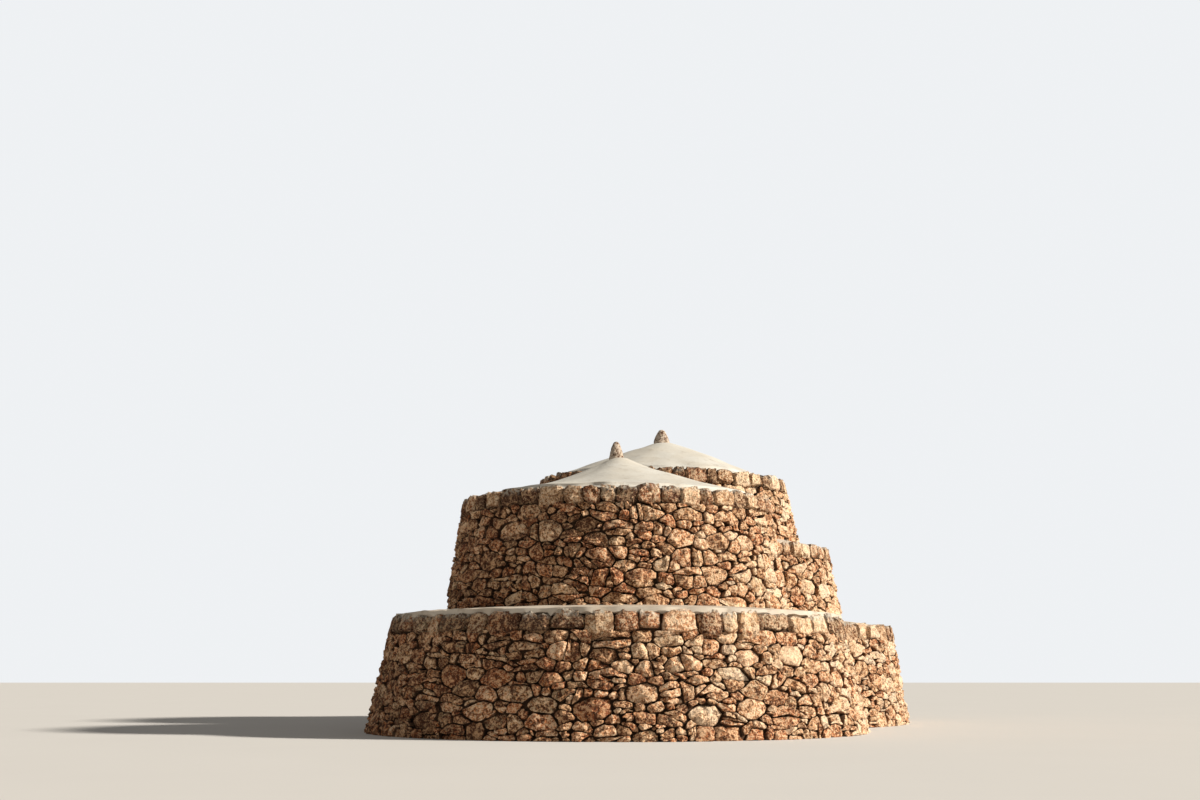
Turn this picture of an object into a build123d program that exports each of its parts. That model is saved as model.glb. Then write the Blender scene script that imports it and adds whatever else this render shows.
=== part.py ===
from build123d import *
from dataclasses import dataclass
from math import atan2, cos, degrees, hypot, radians, sin, sqrt
import os

# A trullo house in dry stone: two round drums that grow into each other. The front
# drum has two stepped tiers, the rear drum three. Every tier is a battered wall that
# ends in a course of squared cap stones and carries a lime ledge. Each drum holds a
# round room under a corbelled vault, with a lime dome and a pinnacle on top.
# Millimetres, +Z up, the front faces -Y. The origin is on the ground, in the middle
# of the house's box.

# Plan: how far the rear drum stands to the right, and how deep the two feet run into
# each other
rear_x = 950
drums_overlap = 4080

# Front drum
lower_tier_height = 1790
front_lower_foot_radius = 4040
front_lower_batter = 400
front_lower_ledge_width = 810
front_upper_height = 1900
front_upper_batter = 290
front_cap_depth = 340
front_lower_wall_thickness = 2390
front_crown_cover = 530
front_dome_setback = 280
front_dome_edge = 45
front_dome_rise = 740
front_dome_bulge = -85

# Rear drum
rear_lower_foot_radius = 4640
rear_lower_batter = 270
rear_lower_ledge_width = 880
rear_middle_height = 1480
rear_middle_batter = 260
rear_middle_ledge_width = 520
rear_upper_height = 1320
rear_upper_batter = 290
rear_middle_wall_thickness = 990
rear_cap_depth = 490
rear_lower_wall_thickness = 2740
rear_crown_cover = 510
rear_dome_setback = 420
rear_dome_edge = 60
rear_dome_rise = 800
rear_dome_bulge = 35

# Cap courses and lime
cap_height = 270
ledge_cap_depth = 380
lime_edge = 45
ledge_fall = 60
ledge_inset = 25
dome_lime = 60

# Vaults
vault_eye_radius = 250
vault_course_height = 200
closing_slab_radius = 400
closing_slab_thickness = 110

# Pinnacles: waist radius at the foot, and height
front_pinnacle_radius = 115
front_pinnacle_height = 280
rear_pinnacle_radius = 150
rear_pinnacle_height = 280
pinnacle_waist_share = 0.78
pinnacle_tip_share = 0.34
pinnacle_waist_height_share = 0.45
pinnacle_shoulder_height_share = 0.93
pinnacle_seat_spread = 60

# Straight sides of a wedge that cuts a round wall into segments
sector_sides = 4

# Doorway in the back, and the passage between the rooms on the same axis
doorway_width = 860
passage_width = 800
doorway_height = 1550
lintel_bearing = 260
lintel_count = 4
passage_lintel_count = 2
lintel_joint = 8
jamb_width = 240
jamb_depth = 600
threshold_height = 70
threshold_depth = 420


@dataclass
class Tier:
    """A battered round of masonry, from its bed to the top of its stones."""

    x: float
    y: float
    bottom: float
    top: float
    foot_radius: float
    top_radius: float

    def radius(self, height):
        """Outer radius at a height."""
        climbed = (height - self.bottom) / (self.top - self.bottom)
        return self.foot_radius + climbed * (self.top_radius - self.foot_radius)

    def body(self, bottom=None, top=None):
        """The tier as a solid, whole or between two heights."""
        bottom = self.bottom if bottom is None else bottom
        top = self.top if top is None else top
        return frustum(self.x, self.y, bottom, top, self.radius(bottom), self.radius(top))


@dataclass
class Vault:
    """A corbelled vault: each course stands further in than the one below."""

    x: float
    y: float
    room_radius: float
    springing: float
    crown: float

    def radius(self, height):
        """Inner radius of the course that starts at a height."""
        rise = (self.crown - self.springing) / (1 - (vault_eye_radius / self.room_radius) ** 2)
        return self.room_radius * sqrt(1 - (height - self.springing) / rise)

    def space(self, bottom, top):
        """The stepped hollow between two heights."""
        courses = max(1, round((top - bottom) / vault_course_height))
        step = (top - bottom) / courses
        outline = [(0, bottom)]
        for course in range(courses):
            low = bottom + course * step
            outline += [(self.radius(low), low), (self.radius(low), low + step)]
        outline.append((0, top))
        face = make_face(Plane.XZ * Polyline(*outline, close=True))
        return Pos(self.x, self.y, 0) * revolve(face, Axis.Z)


@dataclass
class Dome:
    """The outline of a roof above its crest: a foot edge, a curved slope and a flat top."""

    x: float
    y: float
    crest: float
    foot_radius: float
    edge: float
    rise: float
    bulge: float
    flat_radius: float

    def solid(self, depth=0):
        """The dome as a solid, or what lies a depth under its skin."""
        foot = (self.foot_radius - depth, self.crest + self.edge - depth / 2)
        top = (self.flat_radius, self.crest + self.rise - depth)
        middle = ((foot[0] + top[0]) / 2, (foot[1] + top[1]) / 2 + self.bulge)
        slope = ThreePointArc(foot, middle, top)
        rest = Polyline(top, (0, top[1]), (0, self.crest), (foot[0], self.crest), foot)
        return Pos(self.x, self.y, 0) * revolve(make_face(Plane.XZ * (slope + rest)), Axis.Z)


def frustum(x, y, bottom, top, bottom_radius, top_radius):
    """A round solid that tapers between two heights."""
    outline = [(0, bottom), (bottom_radius, bottom), (top_radius, top), (0, top)]
    face = make_face(Plane.XZ * Polyline(*outline, close=True))
    return Pos(x, y, 0) * revolve(face, Axis.Z)


def drum(x, y, bottom, top, radius):
    """A plain round solid between two heights."""
    return frustum(x, y, bottom, top, radius, radius)


def block(x_low, x_high, y_low, y_high, z_low, z_high):
    """A box between six faces."""
    size = (x_high - x_low, y_high - y_low, z_high - z_low)
    middle = ((x_low + x_high) / 2, (y_low + y_high) / 2, (z_low + z_high) / 2)
    return Pos(*middle) * Box(*size)


def sector(x, y, start, end):
    """A wedge of plan between two directions in degrees, taller than the house."""
    corners = [(x, y)]
    for step in range(sector_sides + 1):
        angle = radians(start + (end - start) * step / sector_sides)
        corners.append((x + reach * cos(angle), y + reach * sin(angle)))
    return extrude(make_face(Polyline(*corners, close=True)), house_top)


def junction(front_tier, rear_tier, bottom, top):
    """What lies behind the plane where the faces of two tiers meet, between two heights."""
    across, along = rear_tier.x - front_tier.x, rear_tier.y - front_tier.y
    distance = hypot(across, along)
    offsets = []
    for height in (bottom, top):
        chord = distance**2 + front_tier.radius(height) ** 2 - rear_tier.radius(height) ** 2
        offsets.append(chord / (2 * distance))
    outline = [(offsets[0], bottom), (offsets[1], top), (reach, top), (reach, bottom)]
    side = Plane(
        origin=(front_tier.x, front_tier.y, 0),
        x_dir=(across, along, 0),
        z_dir=(along, -across, 0),
    )
    return extrude(make_face(side * Polyline(*outline, close=True)), reach, both=True)


def pinnacle(x, y, bottom, radius, height):
    """A stone that tapers to a bluntly rounded tip."""
    waist = (radius * pinnacle_waist_share, height * pinnacle_waist_height_share)
    shoulder = (radius * pinnacle_tip_share, height * pinnacle_shoulder_height_share)
    side = ThreePointArc((radius, 0), waist, shoulder)
    crown = TangentArc((0, height), shoulder, tangent=(1, 0))
    foot = Polyline((0, height), (0, 0), (radius, 0))
    return Pos(x, y, bottom) * revolve(make_face(Plane.XZ * (side + crown + foot)), Axis.Z)


def cap_ring(tier, depth):
    """The course of squared stones along the top edge of a tier."""
    bottom = tier.top - cap_height
    inner = tier.top_radius - depth
    return tier.body(bottom) - drum(tier.x, tier.y, bottom, tier.top, inner)


def lime_ledge(tier, upper):
    """The lime on a tier's top, which falls outwards from the foot of the next tier."""
    edge_radius = tier.top_radius - ledge_inset
    outline = [
        (0, tier.top),
        (edge_radius, tier.top),
        (edge_radius, tier.top + lime_edge),
        (upper.foot_radius - ledge_inset, tier.top + lime_edge + ledge_fall),
        (0, tier.top + lime_edge + ledge_fall),
    ]
    face = make_face(Plane.XZ * Polyline(*outline, close=True))
    return Pos(tier.x, tier.y, 0) * revolve(face, Axis.Z) - upper.body()


def slabs(whole, y_low, y_high, count):
    """A run of stone cut across into slabs with open joints."""
    pitch = (y_high - y_low) / count
    for index in range(1, count):
        seam = y_low + index * pitch
        whole -= block(-reach, reach, seam - lintel_joint / 2, seam + lintel_joint / 2, 0, house_top)
    return whole


def split(name, mass, x, y, pieces):
    """Splits a round mass into named segments about one axis."""
    for side, (start, end) in pieces.items():
        parts[f"{name}_{side}"] = mass & sector(x, y, start, end)


# Places worked out from the sizes: the house's box in plan gives the origin
rear_y = front_lower_foot_radius + rear_lower_foot_radius - drums_overlap
left = min(-front_lower_foot_radius, rear_x - rear_lower_foot_radius)
right = max(front_lower_foot_radius, rear_x + rear_lower_foot_radius)
near = -front_lower_foot_radius
far = rear_y + rear_lower_foot_radius
front_x, front_y = -(left + right) / 2, -(near + far) / 2
back_x, back_y = front_x + rear_x, front_y + rear_y
way_x = (front_x + back_x) / 2
reach = 2 * ((far - near) + (right - left))

# Heights
front_crest = lower_tier_height + front_upper_height
rear_middle_top = lower_tier_height + rear_middle_height
rear_crest = rear_middle_top + rear_upper_height
front_cap_bottom = front_crest - cap_height
rear_cap_bottom = rear_crest - cap_height
front_vault_crown = front_crest + front_dome_rise - front_crown_cover
rear_vault_crown = rear_crest + rear_dome_rise - rear_crown_cover
house_top = rear_crest + rear_dome_rise + rear_pinnacle_height

# Radii: the rooms stand inside the lower walls, each tier in from the ledge below it
front_room_radius = front_lower_foot_radius - front_lower_wall_thickness
rear_room_radius = rear_lower_foot_radius - rear_lower_wall_thickness
front_lower_top_radius = front_lower_foot_radius - front_lower_batter
front_upper_foot_radius = front_lower_top_radius - front_lower_ledge_width
front_upper_top_radius = front_upper_foot_radius - front_upper_batter
front_seat_radius = front_upper_top_radius - front_cap_depth
rear_lower_top_radius = rear_lower_foot_radius - rear_lower_batter
rear_middle_foot_radius = rear_lower_top_radius - rear_lower_ledge_width
rear_middle_top_radius = rear_middle_foot_radius - rear_middle_batter
rear_middle_seat_radius = rear_middle_foot_radius - rear_middle_wall_thickness
rear_upper_foot_radius = rear_middle_top_radius - rear_middle_ledge_width
rear_upper_top_radius = rear_upper_foot_radius - rear_upper_batter
rear_seat_radius = rear_upper_top_radius - rear_cap_depth

front_lower = Tier(
    front_x, front_y, 0, lower_tier_height, front_lower_foot_radius, front_lower_top_radius
)
front_upper = Tier(
    front_x, front_y, lower_tier_height, front_crest, front_upper_foot_radius, front_upper_top_radius
)
rear_lower = Tier(
    back_x, back_y, 0, lower_tier_height, rear_lower_foot_radius, rear_lower_top_radius
)
rear_middle = Tier(
    back_x, back_y, lower_tier_height, rear_middle_top, rear_middle_foot_radius, rear_middle_top_radius
)
rear_upper = Tier(
    back_x, back_y, rear_middle_top, rear_crest, rear_upper_foot_radius, rear_upper_top_radius
)
front_vault = Vault(front_x, front_y, front_room_radius, lower_tier_height, front_vault_crown)
rear_vault = Vault(back_x, back_y, rear_room_radius, lower_tier_height, rear_vault_crown)
front_dome = Dome(
    front_x, front_y, front_crest, front_upper_top_radius - front_dome_setback, front_dome_edge,
    front_dome_rise, front_dome_bulge, front_pinnacle_radius + pinnacle_seat_spread,
)
rear_dome = Dome(
    back_x, back_y, rear_crest, rear_upper_top_radius - rear_dome_setback, rear_dome_edge,
    rear_dome_rise, rear_dome_bulge, rear_pinnacle_radius + pinnacle_seat_spread,
)

# Shared cutting forms
front_room = drum(front_x, front_y, 0, lower_tier_height, front_room_radius)
rear_room = drum(back_x, back_y, 0, lower_tier_height, rear_room_radius)
behind_lower = junction(front_lower, rear_lower, 0, lower_tier_height + lime_edge + ledge_fall)
behind_middle = junction(front_upper, rear_middle, lower_tier_height, rear_middle_top)
rear_masonry = behind_middle + rear_upper.body()

doorway = block(
    way_x - doorway_width / 2, way_x + doorway_width / 2, back_y, reach, 0, doorway_height
)
passage = block(
    way_x - passage_width / 2, way_x + passage_width / 2, front_y, back_y, 0, doorway_height
)
lintel_half = doorway_width / 2 + lintel_bearing
lintel_zone = block(
    way_x - lintel_half, way_x + lintel_half, back_y, reach, doorway_height, lower_tier_height
)
passage_half = passage_width / 2 + lintel_bearing
passage_lintel_zone = block(
    way_x - passage_half, way_x + passage_half, front_y, back_y, doorway_height, lower_tier_height
)
face_y = back_y + sqrt(rear_lower.radius(doorway_height) ** 2 - (way_x - back_x) ** 2)
jamb_half = doorway_width / 2 + jamb_width
jamb_zone = block(
    way_x - jamb_half, way_x + jamb_half, face_y - jamb_depth, reach, 0, doorway_height
)

# Segments by direction in degrees, with seams at the doorway, the passage and the junction
toward_rear = degrees(atan2(rear_y, rear_x))
front_lower_thirds = {"left": (90, 210), "front": (210, 330), "right": (330, 450)}
front_upper_thirds = {
    "left": (toward_rear, toward_rear + 120),
    "front": (toward_rear + 120, toward_rear + 240),
    "right": (toward_rear + 240, toward_rear + 360),
}
rear_thirds = {"left": (150, 270), "right": (270, 390), "back": (30, 150)}
halves = {"left": (90, 270), "right": (270, 450)}
quarters = {
    "left_back": (90, 180),
    "left_front": (180, 270),
    "right_front": (270, 360),
    "right_back": (0, 90),
}

parts = {}

# Lower tiers: walls, caps and lime, with the doorway, the passage and their lintels
rooms = front_room + rear_room
front_mass = front_lower.body() - behind_lower - rooms
rear_mass = (rear_lower.body() & behind_lower) - rooms
front_lower_cap = cap_ring(front_lower, ledge_cap_depth) - behind_lower
rear_lower_cap = (cap_ring(rear_lower, ledge_cap_depth) & behind_lower) - lintel_zone - jamb_zone
rear_lower_cap -= doorway
door_lintels = rear_lower.body() & lintel_zone - rear_room
passage_lintels = (front_mass + rear_mass) & passage_lintel_zone
jambs = (rear_lower.body() & jamb_zone) - doorway

cuts = doorway + passage + lintel_zone + passage_lintel_zone
split("front_lower_wall", front_mass - cuts - front_lower_cap, way_x, front_y, front_lower_thirds)
split("rear_lower_wall", rear_mass - cuts - rear_lower_cap - jamb_zone, way_x, back_y, quarters)
split("door_jamb", jambs, way_x, back_y, halves)
parts["front_lower_cap_course"] = front_lower_cap
parts["rear_lower_cap_course"] = rear_lower_cap
parts["door_lintels"] = slabs(
    door_lintels, back_y + rear_room_radius, back_y + rear_lower_top_radius, lintel_count
)
parts["passage_lintels"] = slabs(
    passage_lintels, front_y + front_room_radius, back_y - rear_room_radius, passage_lintel_count
)
parts["door_threshold"] = block(
    way_x - doorway_width / 2, way_x + doorway_width / 2,
    face_y - threshold_depth, face_y, 0, threshold_height,
)
parts["front_lower_ledge"] = lime_ledge(front_lower, front_upper) - behind_lower - rear_middle.body()
parts["rear_lower_ledge"] = (lime_ledge(rear_lower, rear_middle) & behind_lower) - front_upper.body()

# Front drum above its ledge
front_upper_mass = front_upper.body(top=front_cap_bottom) - rear_masonry
front_upper_mass -= drum(front_x, front_y, lower_tier_height, front_cap_bottom, front_seat_radius)
split("front_upper_wall", front_upper_mass, front_x, front_y, front_upper_thirds)
parts["front_upper_cap_course"] = cap_ring(front_upper, front_cap_depth) - rear_masonry

# Rear drum above its ledge
middle_cap = cap_ring(rear_middle, ledge_cap_depth) & behind_middle
middle_mass = (rear_middle.body() & behind_middle) - middle_cap
middle_mass -= drum(back_x, back_y, lower_tier_height, rear_middle_top, rear_middle_seat_radius)
split("rear_middle_wall", middle_mass, back_x, back_y, rear_thirds)
parts["rear_middle_cap_course"] = middle_cap
parts["rear_middle_ledge"] = lime_ledge(rear_middle, rear_upper) - front_upper.body()

upper_mass = rear_upper.body(top=rear_cap_bottom)
upper_mass -= drum(back_x, back_y, rear_middle_top, rear_cap_bottom, rear_seat_radius)
split("rear_upper_wall", upper_mass, back_x, back_y, rear_thirds)
parts["rear_upper_cap_course"] = cap_ring(rear_upper, rear_cap_depth)

# Corbelled vaults, each in a lower and an upper stage
front_stage_top = (lower_tier_height + front_cap_bottom) / 2
stages = {
    "front_vault_lower": (front_vault, lower_tier_height, front_stage_top, front_seat_radius),
    "front_vault_upper": (front_vault, front_stage_top, front_cap_bottom, front_seat_radius),
    "rear_vault_lower": (rear_vault, lower_tier_height, rear_middle_top, rear_middle_seat_radius),
    "rear_vault_upper": (rear_vault, rear_middle_top, rear_cap_bottom, rear_seat_radius),
}
for name, (vault, low, high, seat) in stages.items():
    ring = drum(vault.x, vault.y, low, high, seat) - vault.space(low, high)
    if vault is front_vault:
        ring -= rear_masonry
    split(name, ring, vault.x, vault.y, halves)


def roof(name, vault, bottom, seat, dome, obstacle):
    """Core, closing slab and lime of one drum's roof."""
    slab_top = vault.crown + closing_slab_thickness
    slab = drum(vault.x, vault.y, vault.crown, slab_top, closing_slab_radius)
    core = drum(vault.x, vault.y, bottom, dome.crest, seat) + dome.solid(dome_lime)
    parts[f"{name}_roof_core"] = core - vault.space(bottom, vault.crown) - slab - obstacle
    parts[f"{name}_closing_slab"] = slab
    parts[f"{name}_dome_lime"] = dome.solid() - core - obstacle


roof("front", front_vault, front_cap_bottom, front_seat_radius, front_dome, rear_upper.body())
roof("rear", rear_vault, rear_cap_bottom, rear_seat_radius, rear_dome, Part())
parts["front_pinnacle"] = pinnacle(
    front_x, front_y, front_crest + front_dome_rise, front_pinnacle_radius, front_pinnacle_height
)
parts["rear_pinnacle"] = pinnacle(
    back_x, back_y, rear_crest + rear_dome_rise, rear_pinnacle_radius, rear_pinnacle_height
)

os.makedirs("parts", exist_ok=True)
for name, part in parts.items():
    export_step(part, f"parts/{name}.step")
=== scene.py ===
"""The looks of a dry-stone trullo house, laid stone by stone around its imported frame.

Every battered tier is clad in rubble whose outlines tile the wall, ends in a course of
squared cap stones and carries a lime ledge. Lime domes and pinnacles finish the roofs.
All lengths are in metres, and every place is measured on the frame.
"""

import logging
import math
from dataclasses import dataclass, field
from enum import Enum
from functools import cached_property
from typing import Any, Sequence

import bpy
import numpy as np
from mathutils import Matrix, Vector


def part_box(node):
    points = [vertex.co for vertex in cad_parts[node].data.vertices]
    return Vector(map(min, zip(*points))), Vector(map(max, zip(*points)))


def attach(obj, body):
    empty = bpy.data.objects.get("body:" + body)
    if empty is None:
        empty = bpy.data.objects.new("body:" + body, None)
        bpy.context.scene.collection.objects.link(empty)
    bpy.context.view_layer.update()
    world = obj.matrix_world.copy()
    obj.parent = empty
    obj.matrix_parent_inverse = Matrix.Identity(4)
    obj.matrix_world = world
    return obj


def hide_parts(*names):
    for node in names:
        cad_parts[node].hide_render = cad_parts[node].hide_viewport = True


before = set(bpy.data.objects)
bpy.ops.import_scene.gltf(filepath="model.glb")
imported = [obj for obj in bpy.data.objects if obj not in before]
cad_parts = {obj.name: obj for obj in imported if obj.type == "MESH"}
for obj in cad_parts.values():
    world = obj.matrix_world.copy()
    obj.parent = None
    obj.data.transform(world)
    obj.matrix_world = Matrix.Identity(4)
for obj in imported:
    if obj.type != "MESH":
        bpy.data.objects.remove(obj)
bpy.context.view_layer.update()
BODY = "root"
TOUCH = 0.002
NEAR_FACE = 0.008
FULL_TURN = 2 * math.pi

log = logging.getLogger("trullo")

Colour = tuple[float, float, float]
Point = tuple[float, float]


class Slot(Enum):
    """The record's material slots. The pieces are handed one, which nothing reads."""

    WALL = "wall_rubble"
    CAP = "cap_stone"
    LIME = "lime_wash"
    DRESSED = "dressed_stone"
    PINNACLE = "pinnacle_stone"


# Shader sheets


@dataclass(frozen=True)
class Term:
    """A value in a shader: one socket, with the usual arithmetic."""

    sheet: "Sheet"
    socket: Any

    def __add__(self, other: "Term | float") -> "Term":
        """Sum."""
        return self.sheet.math("ADD", self, other)

    def __radd__(self, other: float) -> "Term":
        """Sum with a number first."""
        return self.sheet.math("ADD", other, self)

    def __sub__(self, other: "Term | float") -> "Term":
        """Difference."""
        return self.sheet.math("SUBTRACT", self, other)

    def __rsub__(self, other: float) -> "Term":
        """Difference from a number."""
        return self.sheet.math("SUBTRACT", other, self)

    def __mul__(self, other: "Term | float") -> "Term":
        """Product."""
        return self.sheet.math("MULTIPLY", self, other)

    def clamped(self) -> "Term":
        """The value held between 0 and 1."""
        return self.sheet.math("ADD", self, 0.0, clamp=True)

    def ramp(self, low: float, high: float) -> "Term":
        """A smooth step from 0 at one value to 1 at another.

        Args:
            low: The value that gives 0.
            high: The value that gives 1, which may be the lower one.

        Returns:
            The stepped value.
        """
        values = {"Value": self, "From Min": low, "From Max": high}
        return self.sheet.term("ShaderNodeMapRange", {"interpolation_type": "SMOOTHSTEP"}, values)


class Sheet:
    """The node sheet of a material or a world."""

    def __init__(self, block: Any) -> None:
        """Empties a new block's sheet.

        Args:
            block: The material or world.
        """
        self.block = block
        self.block.use_nodes = True
        self.tree = self.block.node_tree
        self.tree.nodes.clear()

    @classmethod
    def material(cls, name: str) -> "Sheet":
        """Starts an empty material.

        Args:
            name: The material's name.

        Returns:
            Its sheet.
        """
        return cls(bpy.data.materials.new(name))

    @cached_property
    def where(self) -> Term:
        """The place on the object."""
        return self.term("ShaderNodeTexCoord", output="Object")

    def add(
        self,
        kind: str,
        settings: dict[str, Any] | None = None,
        sockets: dict[str | int, Any] | None = None,
    ) -> Any:
        """Adds one node.

        Args:
            kind: The node's type.
            settings: Its settings, which are set first. "stops" are a colour ramp's.
            sockets: Values or links of its input sockets, by name or place.

        Returns:
            The node.
        """
        node = self.tree.nodes.new(kind)
        for name, value in (settings or {}).items():
            if name == "stops":
                self._set_stops(node, value)
            else:
                setattr(node, name, value)
        for name, value in (sockets or {}).items():
            if isinstance(value, Term):
                self.tree.links.new(value.socket, node.inputs[name])
            else:
                node.inputs[name].default_value = value
        return node

    def term(
        self,
        kind: str,
        settings: dict[str, Any] | None = None,
        sockets: dict[str | int, Any] | None = None,
        output: str | int = 0,
    ) -> Term:
        """Adds one node and takes what it puts out.

        Args:
            kind: The node's type.
            settings: Its settings.
            sockets: Values or links of its input sockets.
            output: The output socket, by name or place.

        Returns:
            The output.
        """
        return Term(self, self.add(kind, settings, sockets).outputs[output])

    def _set_stops(self, node: Any, stops: Sequence[tuple[float, Colour]]) -> None:
        """Sets the stops of a colour ramp.

        Args:
            node: The ramp's node.
            stops: Places from 0 to 1 with their colours.
        """
        elements = node.color_ramp.elements
        while len(elements) < len(stops):
            elements.new(1.0)
        for element, (place, colour) in zip(elements, stops):
            element.position = place
            element.color = (*colour, 1.0)

    def math(self, operation: str, first: Any, second: Any, clamp: bool = False) -> Term:
        """Adds a Math node.

        Args:
            operation: What it works out.
            first: A term or number.
            second: A term or number.
            clamp: Whether the result is held between 0 and 1.

        Returns:
            The result.
        """
        settings = {"operation": operation, "use_clamp": clamp}
        return self.term("ShaderNodeMath", settings, {0: first, 1: second})

    def mix(self, share: Any, first: Any, second: Any) -> Term:
        """Mixes two colours.

        Args:
            share: How much of the second colour there is, from 0 to 1.
            first: A colour or a term that holds one.
            second: A colour or a term that holds one.

        Returns:
            The mixed colour.
        """
        colours = [c if isinstance(c, Term) else (*c, 1.0) for c in (first, second)]
        settings = {"data_type": "RGBA", "clamp_result": True}
        sockets = {0: share, 6: colours[0], 7: colours[1]}
        return self.term("ShaderNodeMix", settings, sockets, 2)

    def layered(self, base: Term, layers: Sequence[tuple[Any, Any]]) -> Term:
        """Lays colours over one another.

        Args:
            base: The lowest colour.
            layers: The share and the colour of each layer, from the lowest up.

        Returns:
            The mixed colour.
        """
        for share, colour in layers:
            base = self.mix(share, base, colour)
        return base

    def stretched(self, x: float, y: float, z: float) -> Term:
        """The object's place, with its axes scaled.

        Args:
            x: The scale across.
            y: The scale along.
            z: The scale up.

        Returns:
            The place.
        """
        sockets = {0: self.where, 1: (x, y, z)}
        return self.term("ShaderNodeVectorMath", {"operation": "MULTIPLY"}, sockets)

    def noise(
        self, size: float, detail: float = 4.0, roughness: float = 0.55, shift: float = 0.0
    ) -> Term:
        """Cloudy noise over the object.

        Args:
            size: The width of its features in metres.
            detail: How many finer layers it has.
            roughness: How strong these are.
            shift: A step along the fourth axis, which gives another pattern.

        Returns:
            The noise, from 0 to 1.
        """
        sockets = {
            "Vector": self.where, "W": shift, "Scale": 1 / size, "Detail": detail,
            "Roughness": roughness,
        }
        return self.term("ShaderNodeTexNoise", {"noise_dimensions": "4D"}, sockets)

    def cells(
        self, size: float, feature: str = "F1", randomness: float = 1.0, where: Term | None = None
    ) -> Term:
        """The distance in a pattern of irregular cells.

        Args:
            size: The width of a cell in metres.
            feature: What distance it is.
            randomness: How irregular the cells are, from 0 to 1.
            where: The place to read, or the object's own.

        Returns:
            The distance.
        """
        sockets = {"Vector": where or self.where, "Scale": 1 / size, "Randomness": randomness}
        return self.term("ShaderNodeTexVoronoi", {"feature": feature}, sockets, "Distance")

    def attribute(self, name: str) -> tuple[Term, Term, Term, Term]:
        """A colour attribute of the mesh, as four values.

        Args:
            name: The attribute's name.

        Returns:
            Red, green, blue and alpha.
        """
        node = self.add("ShaderNodeAttribute", {"attribute_name": name})
        colour = Term(self, node.outputs["Color"])
        parts = self.add("ShaderNodeSeparateColor", None, {"Color": colour})
        red, green, blue = (Term(self, parts.outputs[i]) for i in range(3))
        return red, green, blue, Term(self, node.outputs["Alpha"])

    def tint(self, value: Term, stops: Sequence[tuple[float, Colour]]) -> Term:
        """A colour ramp over a value.

        Args:
            value: What picks the colour.
            stops: Places from 0 to 1 with their colours.

        Returns:
            The colour.
        """
        return self.term("ShaderNodeValToRGB", {"stops": stops}, {"Fac": value})

    def finish(self, colour: Term, roughness: Any, height: Term, relief: float) -> Any:
        """Closes the sheet with its surface.

        Args:
            colour: The base colour.
            roughness: A term or number.
            height: The bump's height, from 0 to 1.
            relief: The depth of the whole height in metres.

        Returns:
            The material.
        """
        depth = {"Height": height, "Distance": relief, "Strength": 1.0}
        sockets = {
            "Base Color": colour, "Roughness": roughness,
            "Normal": self.term("ShaderNodeBump", None, depth), "Specular IOR Level": 0.25,
        }
        surface = self.term("ShaderNodeBsdfPrincipled", None, sockets)
        self.add("ShaderNodeOutputMaterial", None, {"Surface": surface})
        return self.block


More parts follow.
